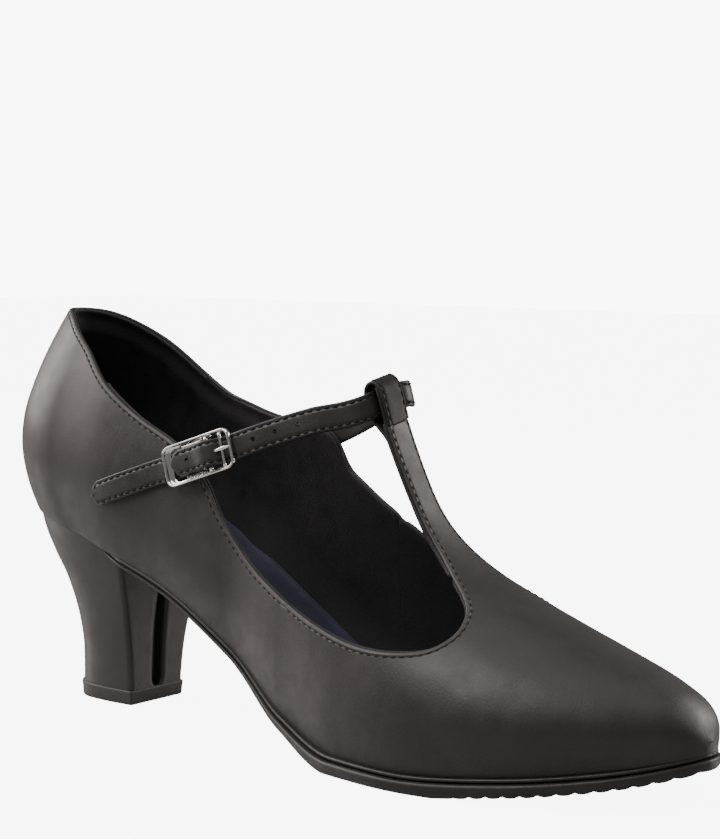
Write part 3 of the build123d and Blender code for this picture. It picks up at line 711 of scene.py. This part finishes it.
for name, surface in surfaces.items():
    is_leather = name in ("upper", "medial_quarter")
    depths = (0.0, LEATHER) if is_leather else (LINING_OUT, lining_depth(surface[0]))
    points, faces = sheet_mesh(surface, *depths, rim=6 if is_leather else 4)
    # Distance to the topline: it places the groove's bump, its painted shade and the lighter rolled edge.
    edge = edge_distance(surface[0], surface[2])
    edge = np.concatenate([edge, edge, np.zeros(len(points) - 2 * len(edge))])
    make(name, settle(points), faces, leather if is_leather else lining_cloth,
         "upper_leather" if is_leather else "lining", node=[name], edge=edge)


def seam_rows(name, inset, keep):
    """Lines a fixed distance inside a piece's border where keep says so, with the leather's normals."""
    points, normals, faces = surfaces[name]
    rows = []
    for loop in chains(faces):
        p, n = points[loop], normals[loop]
        along = unit(np.roll(p, -1, axis=0) - np.roll(p, 1, axis=0))
        inward = unit(np.cross(n, along))
        wanted = keep(p)
        if wanted.all() or not wanted.any():
            continue
        first = next(i for i in range(len(p)) if wanted[i] and not wanted[i - 1])
        order = [(first + i) % len(p) for i in range(len(p))]
        run = []
        for i in order + [None]:
            if i is not None and wanted[i]:
                run.append(i)
                continue
            if len(run) > 6:
                width = inset(p[run])[:, None]
                line = p[run] + inward[run] * width
                line = even(line, 0.5)
                for _ in range(4):
                    line[1:-1] = line[1:-1] * 0.5 + (line[:-2] + line[2:]) * 0.25
                found = [LAST_TREE.find_nearest(Vector(q)) for q in line]
                rows.append((np.array([f[0] for f in found]), np.array([f[1] for f in found])))
            run = []
    return rows


def topline_sewn(p):
    return topline_part(p) & (above_strap(p, LOOP_LOW) < -0.4)


def edge_inset(p):
    """The stitches stand closer to the edge on the T-strap."""
    return SEWN_IN - 0.35 * ease((165 - p[:, 0]) / 12) * ease((12 - np.abs(p[:, 1])) / 3) * (p[:, 0] > 130)


def beside_seam(p):
    return (np.abs(p[:, 0] - SEAM_X) < 0.6) & (p[:, 2] > feather(p[:, 0]) + 2)


rows = seam_rows("upper", edge_inset, topline_sewn) + seam_rows("medial_quarter", edge_inset, topline_sewn)
rows += seam_rows("medial_quarter", lambda p: np.full(len(p), 1.6), beside_seam)
make("topline_stitching", *sewing([(settle(p), n) for p, n in rows]), thread, "upper_leather")


# ---- T-strap's folded end
def on_strap(up, out):
    return T_TOP + T_UP * up + T_OUT * out


def strap_loop():
    """Folded end: up the front, over the ankle strap and down behind it."""
    def quarter_turn(high, angles):
        return [on_strap(LOOP_TOP - high + high * math.sin(a), LOOP_MIDDLE + LOOP_HALF * math.cos(a))
                for a in angles]

    front = quarter_turn(5.2, np.linspace(0.0, math.pi / 2, 6))
    back = quarter_turn(2.9, np.linspace(math.pi / 2, math.pi, 5))
    knots = [on_strap(LOOP_LOW - 0.9, -0.45), on_strap(-8, -0.42)] + front + back[1:]
    knots += [on_strap(-6, -6.32), on_strap(-9.5, -6.0), on_strap(-12.5, -4.7), on_strap(-15.0, -3.2),
              on_strap(-18.0, -1.9), on_strap(-20.0, -1.6)]
    path = even(spline(knots, 300), 0.35)
    (points, faces), up, wide = strip(path, np.tile((0, -1.0, 0), (len(path), 1)), 2 * T_HALF, 1.2,
                                      dips=(-0.15,))
    # The folded end wears the darker leather, which is painted shade.
    make("t_strap_loop", settle(points), faces, loop_leather_painted_shade, "upper_leather", node=["t_strap_loop"])
    seen = slice(3, len(path) * 2 // 3)
    lines = [path + wide * side * (T_HALF - 1.05) + up * 0.62 for side in (-1, 1)]
    make("t_strap_loop_stitching", *sewing([(settle(line[seen]), up[seen]) for line in lines]), thread,
         "upper_leather")
    backing = even(spline([on_strap(LOOP_LOW - 2.5, -1.6), on_strap(-9, -1.75), on_strap(-4, -1.75),
                           on_strap(-1.6, -1.9)], 80), 0.5)
    (points, faces), _, _ = strip(backing, np.tile((0, -1.0, 0), (len(backing), 1)), 2 * T_HALF - 0.4, 1.3)
    make("t_strap_backing", settle(points), faces, lining_cloth, "lining")


strap_loop()

# ---- ankle strap, tab and buckle
BUCKLE = np.array([92.75, -30.1, 84.7])
ALONG = unit((0.940, 0.087, 0.329))
ACROSS = unit(np.array((-0.335, 0.06, 0.94)) - ALONG * (ALONG @ (-0.335, 0.06, 0.94)))
OUT = np.cross(ALONG, ACROSS)
FRAME_LENGTH, FRAME_WIDTH, FRAME_BAR, FRAME_THICK = 26.0, 12.4, 1.3, 1.5
BACK_BAR, FRONT_BAR = 2.9, 1.4          # widths of the frame's ends
CENTRE_BAR, SECOND_BAR = 3.5, 8.6       # where the cross bars are, along the frame


def local(s, n, w=0.0):
    """Point in the buckle's own axes: along the strap, out from the foot, and across."""
    return BUCKLE + ALONG * s + OUT * n + ACROSS * w


def wall_y(x, z, side, out):
    """Y of the outside of the shoe at x and z, moved out by a distance."""
    h = z - feather(x)
    t = x
    for _ in range(30):
        t = x - lean(h) * np.clip(1 - np.clip(t, 0, None) / 60, 0, 1) ** 1.5
    return float(side * (half_width(t, h, side) + out) + middle(t))


LOOP_STRAP = on_strap(-5.4, -4.45)
TAIL_PATH = [local(-9.8, 0.95), local(-4, 0.95), local(0, 1.35), local(3.5, 2.1), local(5.0, 1.5),
             local(8.8, -1.75), local(12.9, -1.85)]
FREE_PATH = [(113.3, -22.6, 92.5), (122.2, -17.2, 95.9), (130.0, -11.6, 99.0)]
LOOP_PATH = [(LOOP_STRAP[0], y, LOOP_STRAP[2]) for y in (-5.8, 0, 5.2)]
MEDIAL_ARC = [(137.2, 9.6, 102.6), (136.8, 13.5, 103.3), (134.2, 17.6, 103.6), (129.8, 20.9, 102.8),
              (124, 23.1, 100.6), (118, 24.1, 97.6), (112.5, 23.4, 94.4)]
ROOT = [(x, wall_y(x, z, 1, gap), z) for x, z, gap in ((107, 91.2, 1.9), (98, 87.6, 1.6), (92, 85.6, 1.5))]
TAB_LAID = ((50.5, 69.6), (54, 71.0), (62, 74.0), (70, 76.9), (76, 79.0))
HOLES, HOLE_RADIUS = (5.5, 12.5, 19.5), 0.72        # along the strap, past the buckle


def side_rows(path, up, wide, widths, thick, inset, low=-0.5):
    """Two stitch lines along a strip's outer face."""
    out = []
    for side in (-1, 1):
        offset = np.maximum(widths / 2 - inset, 0)[:, None]
        out.append((path + wide * side * offset + up * (thick * (low + 1) + 0.06), up))
    return out


def ankle_strap():
    """One strap from the tail under the buckle, through the loop, to its root on the inner quarter."""
    path = spline(TAIL_PATH + FREE_PATH + LOOP_PATH + MEDIAL_ARC + ROOT, 1200)
    path = even(settle(path, rise=0.1, reach=16, fade=10), STRAP_STEP)
    widths = round_end(path, STRAP_WIDTH, (True, True))
    wide = np.tile(ACROSS, (len(path), 1))
    (points, faces), up, wide = strip(path, wide, widths, STRAP_THICK, dips=(1.15,))
    strap = make("ankle_strap", points, faces, strap_leather, "upper_leather", body=None)
    tail_hole, past_buckle = (int(np.argmin(np.linalg.norm(path - spot, axis=1)))
                              for spot in (local(-3.3, 1.0), local(12.9, -1.85)))
    for k in [tail_hole] + [past_buckle + int(far / STRAP_STEP) for far in HOLES]:
        punch(strap, path[k], up[k], HOLE_RADIUS)
    lines = side_rows(path, up, wide, widths, STRAP_THICK, 1.15)
    seams = make("ankle_strap_stitching", *sewing([(p[4:-4], n[4:-4]) for p, n in lines]), thread,
                 "upper_leather", body=None)
    for piece in (strap, seams):
        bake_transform(piece)
    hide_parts("ankle_strap_lateral", "ankle_strap_medial")


def punch(piece, centre, axis, radius):
    """Round hole through a piece."""
    bpy.ops.mesh.primitive_cylinder_add(vertices=20, radius=radius / 1000, depth=0.006)
    tool = bpy.context.object
    tool.rotation_mode = "QUATERNION"
    tool.rotation_quaternion = Vector(axis).to_track_quat("Z", "Y")
    tool.location = (Vector(centre) - Vector((ORIGIN_X, 0, 0))) / 1000
    bpy.context.view_layer.update()
    cut = piece.modifiers.new("hole", "BOOLEAN")
    cut.object, cut.operation, cut.solver = tool, "DIFFERENCE", "EXACT"
    evaluated = piece.evaluated_get(bpy.context.evaluated_depsgraph_get())
    mesh = bpy.data.meshes.new_from_object(evaluated)
    piece.modifiers.clear()
    piece.data = mesh
    bpy.data.objects.remove(tool)
    mesh.set_sharp_from_angle(angle=math.radians(50))


def buckle_tab():
    """Stitched tab on the outer quarter, running up to the ring."""
    path = [(x, wall_y(x, z, -1, 0.85), z) for x, z in TAB_LAID]
    path += [local(-12, -1.95), local(-8.6, -1.75), local(-6.6, -1.5)]
    path = even(spline(path, 400), STRAP_STEP)
    widths = round_end(path, STRAP_WIDTH)
    (points, faces), up, wide = strip(path, np.tile(ACROSS, (len(path), 1)), widths, 1.5, dips=(1.1,))
    make("buckle_tab", points, faces, strap_leather, "upper_leather", node=["buckle_tab"])
    s = np.linspace(0, math.pi, 30)
    half = STRAP_WIDTH / 2 - 1.1
    one, two = side_rows(path, up, wide, widths, 1.5, 1.1)
    first = int(round(STRAP_WIDTH / 2 / STRAP_STEP))
    centre = path[first]
    bend = np.array([centre - unit(path[first] - path[0]) * half * math.sin(a)
                     - wide[first] * half * math.cos(a) for a in s]) + up[first] * 0.81
    ring = np.concatenate([one[0][first:][::-1], bend, two[0][first:]])
    normal = np.concatenate([one[1][first:][::-1], np.tile(up[first], (len(s), 1)), two[1][first:]])
    make("buckle_tab_stitching", *sewing([(ring, normal)]), thread, "upper_leather")


def rounded_rectangle(length, width, radius, shift=0.0, steps=9):
    """Corners' arcs of a rounded rectangle, anticlockwise."""
    points = []
    for turn, (sx, sy) in zip((0, 0.5, 1.0, 1.5), ((1, 1), (-1, 1), (-1, -1), (1, -1))):
        cx, cy = sx * (length / 2 - radius) + shift, sy * (width / 2 - radius)
        for a in np.linspace(turn * math.pi, (turn + 0.5) * math.pi, steps):
            points.append((cx + radius * math.cos(a), cy + radius * math.sin(a)))
    return np.array(points)


def buckle_frame():
    """Rounded frame with a raised outer rim and a low flange behind, and its two cross bars."""
    shift = 12.4 - FRAME_LENGTH / 2
    outer = rounded_rectangle(FRAME_LENGTH, FRAME_WIDTH, 2.8, shift)
    inner = rounded_rectangle(FRAME_LENGTH - BACK_BAR - FRONT_BAR, FRAME_WIDTH - 2 * FRAME_BAR, 1.6,
                              shift + (BACK_BAR - FRONT_BAR) / 2)
    rings = []
    rim = np.array([(0, 0), (0.03, 0.5), (0.16, 0.85), (0.4, 1), (0.64, 0.9), (0.85, 0.6), (0.96, 0.2)])
    flange = np.array([(0.04, -0.1), (0.5, -0.3), (0.94, -0.5), (1, -0.65), (0.96, -0.85), (0.8, -0.97)])
    under = np.array([(0.7, -1), (0.12, -0.95), (0.02, -0.6)])
    height = np.concatenate([rim, flange, under])[:, 1] * FRAME_THICK / 2
    for o, i in zip(outer, inner):
        width = np.linalg.norm(i - o)
        inward = (i - o) / width
        narrow = min(1.05, width * 0.85)
        far = np.concatenate([rim[:, 0] * narrow, narrow + flange[:, 0] * (width - narrow),
                              under[:, 0] * narrow])
        flat = o + inward * far[:, None]
        rings.append([local(s, n, w) for (s, w), n in zip(flat, height)])
    rings.append(rings[0])
    points, faces = loft(rings, capped=False)
    make("buckle_frame", points, faces, nickel, "nickel", body="ankle_strap", node=["buckle_frame"])
    half = FRAME_WIDTH / 2 - 0.9
    for name, s, n, radius in (("buckle_centre_bar", CENTRE_BAR, 0, 0.6),
                               ("buckle_second_bar", SECOND_BAR, -0.1, 0.5)):
        bar = [local(s, n, w) for w in np.linspace(-half, half, 12)]
        make(name, *tube(bar, radius, 16), nickel, "nickel", body="ankle_strap")


def buckle_prong():
    """Tongue curled round the centre bar and lying on the broad bar."""
    curl = [local(CENTRE_BAR + 0.98 * math.cos(a), 0.98 * math.sin(a)) for a in np.linspace(5.6, 1.2, 12)]
    reach = [local(5.2, 0.62), local(7.5, 0.98), local(9.6, 1.3), local(11.2, 1.34), local(12.1, 1.2)]
    path = even(spline(curl + reach, 160), 0.18)
    s = np.linspace(0, 1, len(path))
    radius = 0.46 + 0.16 * np.clip(s * 3, 0, 1) - 0.3 * np.clip((s - 0.75) / 0.25, 0, 1) ** 2
    make("buckle_prong", *tube(path, radius, 14), nickel, "nickel", body="prong", node=["buckle_prong"])


ankle_strap()
buckle_tab()
buckle_frame()
buckle_prong()


# ---- sock
INSOLE_TOP = 4.35
PAD_END = 60.0


def sock_height(x):
    """Top of the sock: over the insole, and over the heel pad at the back."""
    return feather(x) + INSOLE_TOP + 1.15 * (1 - ease((x - PAD_END) / 14)) + 1.0


def outline(t, h, inset, joined=(0, -1)):
    """Outer and inner edge of the last at one height, moved inwards, and their normals."""
    sides = []
    for side in (-1.0, 1.0):
        p = last_point(t, h + 0 * t, side)
        along = np.gradient(p[:, :2], axis=0)
        away = unit(np.stack([along[:, 1], -along[:, 0]], 1)) * (1 if side < 0 else -1)
        for end, way in ((0, -1), (-1, 1)):
            if end in joined:
                away[end] = (way, 0)
        p[:, :2] -= away * inset
        sides.append((p, away))
    for end in joined:
        shared = (sides[0][0][end] + sides[1][0][end]) / 2
        sides[0][0][end] = sides[1][0][end] = shared
    return sides


def sock():
    """Cushioned sock over the insole, turned up a little where it meets the lining."""
    t = stations(240, high=232)
    (left, _), (right, _) = outline(t, 5.0, LINING_IN + 0.12, joined=(0,))
    share = np.linspace(0, 1, 61)[None, :, None]
    grid = left[:, None] * (1 - share) + right[:, None] * share
    grid[..., 2] = sock_height(grid[..., 0])
    edge = np.minimum(share, 1 - share)[..., 0] * np.linalg.norm(right - left, axis=1)[:, None]
    grid[..., 2] += 0.9 * np.exp(-(edge / 2.0) ** 2) - 0.5 * np.exp(-((edge - 13) / 9.0) ** 2)
    faces = grid_faces(*grid.shape[:2])
    points = grid.reshape(-1, 3)
    normals = np.tile((0.0, 0.0, 1.0), (len(points), 1))
    verts, rings = sheet_mesh((points, normals, faces.tolist()), 0.0, 1.0, rim=3)
    piece = make("sock", verts, rings, sock_skin, "sock", node=["sock_lining"])


sock()

# ---- sole
welt_edge = curve((0, 0), (60, 0.2), (110, 0.6), (140, 1.1), (225, 1.1), (245, 0.0))
sole_edge = curve((0, 0), (60, 0.3), (110, 1.2), (140, 2.4), (222, 2.4), (245, 0.8))
sole_thick = curve((46, 2.6), (100, 2.9), (125, 3.9), (152, 5.6), (174, 5.6), (200, 5.2), (245, 4.8))
RIB_FROM, RIB_EVERY, RIB_DEEP = 186.0, 4.2, 0.6


def sole_low(x):
    return np.maximum(0.0, feather(x) - sole_thick(x))


def ribbed(x):
    """Depth of the cross ribs under the toe."""
    fade = np.clip((x - RIB_FROM) / 8, 0, 1)
    return RIB_DEEP * fade * (1 - np.abs(np.sin(math.pi * x / RIB_EVERY))) ** 1.4


def sole_outline():
    t = np.concatenate([np.linspace(SOLE_START, 180, 150)[:-1], np.linspace(180, 243, 240)[:-1],
                        stations(40, 243.0)])
    t[-1] = LENGTH
    left, right = outline(t, 0.0, 0.0, joined=(-1,))
    return t, left, right


def edge_ring(t, side, profile):
    """Points round the sole's edge: profile gives (out, up) pairs against the feather edge."""
    p, away = side
    hide = 2.4 * (1 - np.clip((t - SOLE_START) / 9, 0, 1))
    out = np.zeros((len(t), len(profile), 3))
    for k, (push, lift) in enumerate(profile):
        out[:, k, :2] = p[:, :2] + away * (push - hide)[:, None]
        out[:, k, 2] = lift
    return out


def sole():
    t, left, right = sole_outline()
    level, edge, low = feather(t), sole_edge(t), sole_low(t)
    tread = low + ribbed(t)
    height = level - WELT - 0.05 - low
    profile = [(edge - 5, level - WELT - 0.06), (edge - 1.2, level - WELT - 0.05),
               (edge - 0.45, level - WELT - 0.12), (edge - 0.1, level - WELT - 0.32),
               (edge, level - WELT - 0.3 * height), (edge - 0.02, level - WELT - 0.55 * height),
               (edge - 0.15, tread + 0.175 * height), (edge - 0.45, tread + 0.18), (edge - 0.9, tread)]
    one, two = (edge_ring(t, side, profile) for side in (left, right))
    share = np.linspace(0, 1, 50)[None, 1:-1, None]
    bottom = one[:, -1:, :] * (1 - share) + two[:, -1:, :] * share
    bottom[..., 2] = sole_low(bottom[..., 0]) + ribbed(bottom[..., 0])
    rings = np.concatenate([one, bottom, two[:, ::-1]], 1)
    points, faces = loft(rings)
    make("outsole", points, faces, sole_skin, "sole", node=["outsole"])

    edge = welt_edge(t)
    profile = [(edge - 4, level - 0.05), (edge - 0.6, level - 0.05), (edge - 0.2, level - 0.18),
               (edge - 0.02, level - 0.45), (edge - 0.02, level - 0.8), (edge - 0.2, level - 1.1),
               (edge - 0.7, level - 1.3), (edge - 4, level - WELT)]
    for name, side in (("welt_outer", left), ("welt_inner", right)):
        points, faces = loft(edge_ring(t, side, profile))
        piece = make(name, points, faces, sole_skin, "sole")
        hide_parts("welt_strip")


sole()

# ---- heel
TIP_BACK, TIP_FRONT, TIP_HALF, TIP_THICK = 18.6, 47.4, 12.2, 4.7
heel_back = curve((4.7, 18.7), (16, 18.9), (24, 18.0), (31, 16.4), (40, 13.4), (48, 9.4), (57, 5.4),
                  (66, 2.8))
heel_half = curve((4.7, TIP_HALF), (16, 13.2), (24, 14.6), (31, 16.4), (40, 19.6), (48, 23.0), (57, 25.4),
                  (66, 25.7))
heel_front = curve((4.7, TIP_FRONT), (16, 47.7), (24, 48.2), (31, 49), (40, 50.6), (48, 53), (57, 56),
                   (66, 58))
groove_half = curve((4, 0.2), (5.0, 1.3), (6.2, 2.0), (8, 2.3), (24, 2.3), (36, 2.0), (44, 1.6), (46, 0.4))
groove_deep = curve((4, 0.0), (5.2, 2.5), (7, 4.2), (36, 4.5), (44, 3.5), (46, 0.2))
CORNER = 1.7


def d_outline(back, half, front, groove=None, corner=CORNER, length=1.13):
    """D-shaped outline from the middle of the breast round the back, with the breast's groove."""
    arc = [(back + half * length * (1 - math.cos(a)), half * math.sin(a))
           for a in (1.5708, 1.25, 0.95, 0.65, 0.32)]
    side = [(front, half * 0.985)] + arc
    whole = spline([(x, -y) for x, y in side] + [(back, 0)] + [(x, y) for x, y in side[::-1]], 400)
    reach = np.where(whole[:, 0] < front - corner)[0]
    whole = even(whole[reach[0]:reach[-1] + 1], 0.01)
    whole = whole[np.linspace(0, len(whole) - 1, 96).astype(int)]
    y = abs(whole[0, 1])
    turn = np.linspace(0, math.pi / 2, 9)[1:]
    rounded = np.stack([front - corner + corner * np.sin(turn), y - corner + corner * np.cos(turn)], 1)
    lip, deep = groove if groove else (1.5, 0.0)
    breast = np.linspace(y - corner, lip + 0.35, 8)[1:]
    face = np.stack([np.full(len(breast), front), breast], 1)
    walls = np.array([(front - min(0.25, deep / 4), lip + 0.08), (front - deep * 0.35, lip),
                      (front - deep * 0.75, lip * 0.94), (front - deep * 0.96, lip * 0.7),
                      (front - deep, lip * 0.25)])
    half_ring = np.concatenate([rounded, face, walls])
    mirrored = half_ring[::-1] * (1, -1)
    return np.concatenate([mirrored, whole, half_ring])


def heel():
    """Heel block up to the seat and, at its breast, up to the sole; then the heel tip."""
    bottom = TIP_THICK + 0.02
    z_of = np.linspace(bottom, 64, 240)
    shape = np.array([d_outline(heel_back(z), heel_half(z), heel_front(z), (groove_half(z), groove_deep(z)))
                      for z in z_of])
    count = shape.shape[1]
    breast = (np.arange(count) < 20) | (np.arange(count) >= count - 20)
    top = np.full(count, 55.0)
    for _ in range(40):
        x = np.array([np.interp(top[k], z_of, shape[:, k, 0]) for k in range(count)])
        top = top * 0.5 + 0.5 * (feather(x) - np.where(breast, 2.0, 0.03))
    rings = []
    for v in np.linspace(0, 1, 64):
        z = bottom + v * (top - bottom)
        ring = [(np.interp(z[k], z_of, shape[:, k, 0]), np.interp(z[k], z_of, shape[:, k, 1]), z[k])
                for k in range(count)]
        rings.append(ring)
    points, faces = loft(rings)
    make("heel_block", points, faces, heel_skin, "heel", node=["heel_block"], sharp=60)

    tip = [(0.0, -0.45), (0.12, -0.15), (0.45, 0.0), (2.4, 0.12), (4.0, 0.28), (4.5, 0.3), (TIP_THICK, 0.12)]
    rings = []
    for z, grow in tip:
        ring = d_outline(TIP_BACK - grow, TIP_HALF + grow, TIP_FRONT + grow, corner=0.9, length=1.0)
        rings.append(np.concatenate([ring, np.full((len(ring), 1), z)], 1))
    points, faces = loft(rings)
    make("heel_tip", points, faces, tip_skin, "heel_tip", node=["heel_tip"], sharp=55)


heel()

# ---- pieces that keep their own shape
KEPT = {
    cloth: ("heel_counter", "interlining", "toe_puff", "heel_pad"),
    board: ("insole_board", "bottom_filler"),
    steel: ("shank_spring", "shank_rivets", "heel_tip_pins", "heel_nails", "heel_screw"),
    nickel: ("buckle_hook", "tab_ring"),
}
for material, names in KEPT.items():
    for name in names:
        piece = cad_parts[name]
        piece.data.materials.clear()
        piece.data.materials.append(material)


# ---- floor, light and camera
def area_light(name, place, target, size, power, colour=(1, 1, 1)):
    data = bpy.data.lights.new(name, "AREA")
    data.shape = "RECTANGLE"
    data.size, data.size_y = size
    data.energy = power
    data.color = colour
    light = bpy.data.objects.new(name, data)
    light.location = place
    light.rotation_mode = "QUATERNION"
    light.rotation_quaternion = (Vector(target) - Vector(place)).to_track_quat("-Z", "Y")
    bpy.context.scene.collection.objects.link(light)


def seen_and_cast(tree, shader, socket, seen, cast):
    """Sets how bright a surface looks and how much light it gives, apart."""
    path = tree.nodes.new("ShaderNodeLightPath")
    mix = tree.nodes.new("ShaderNodeMapRange")
    mix.inputs["To Min"].default_value = cast
    mix.inputs["To Max"].default_value = seen
    tree.links.new(path.outputs["Is Camera Ray"], mix.inputs["Value"])
    tree.links.new(mix.outputs["Result"], shader.inputs[socket])


def set_scene():
    bpy.ops.mesh.primitive_plane_add(size=8.0, location=(0.1, 0, -0.0002))
    floor = bpy.context.object
    floor.name = "floor"
    paper = bpy.data.materials.new("floor")
    paper.use_nodes = True
    shader = paper.node_tree.nodes["Principled BSDF"]
    shader.inputs["Base Color"].default_value = (0.4, 0.4, 0.4, 1)
    shader.inputs["Roughness"].default_value = 0.12
    shader.inputs["Emission Color"].default_value = (1, 1, 1, 1)
    seen_and_cast(paper.node_tree, shader, "Emission Strength", 7.5, 0.0)
    floor.data.materials.append(paper)
    world = bpy.data.worlds.new("world")
    bpy.context.scene.world = world
    world.use_nodes = True
    seen_and_cast(world.node_tree, world.node_tree.nodes["Background"], "Strength", 9.0, 0.2)
    world.node_tree.nodes["Background"].inputs["Color"].default_value = (1.0, 0.995, 0.99, 1)
    aim = (0.08, 0, 0.05)
    pink = (1.0, 0.92, 0.90)
    area_light("left", (-0.92, -0.27, 0.56), aim, (0.9, 0.9), 15.0, pink)
    area_light("right", (0.62, 0.82, 0.42), aim, (0.7, 0.6), 6.5, pink)
    area_light("front", (-0.1, -0.68, 1.0), aim, (1.0, 0.8), 12.0, (1.0, 0.95, 0.93))
    area_light("top", (0.1, 0.05, 1.2), aim, (1.0, 1.0), 3.0)


def set_camera():
    """Looks from the outer front, a little above the floor."""
    azimuth, elevation, roll = (math.radians(a) for a in (37.86, 4.867, 0.786))
    target, distance, lens = Vector((0.0912, 0.0063, 0.0957)), 0.5902, 84.7
    back = Vector((math.sin(azimuth) * math.cos(elevation), -math.cos(azimuth) * math.cos(elevation),
                   math.sin(elevation)))
    right = Vector((math.cos(azimuth), math.sin(azimuth), 0))
    up = back.cross(right)
    across = right * math.cos(roll) + up * math.sin(roll)
    above = -right * math.sin(roll) + up * math.cos(roll)
    data = bpy.data.cameras.new("camera")
    data.lens = lens
    data.clip_start, data.clip_end = 0.01, 50
    camera = bpy.data.objects.new("camera", data)
    bpy.context.scene.collection.objects.link(camera)
    place = target + back * distance
    turned = Matrix((across, above, back)).transposed().to_4x4()
    camera.matrix_world = Matrix.Translation(place) @ turned
    bpy.context.scene.camera = camera


set_scene()
set_camera()
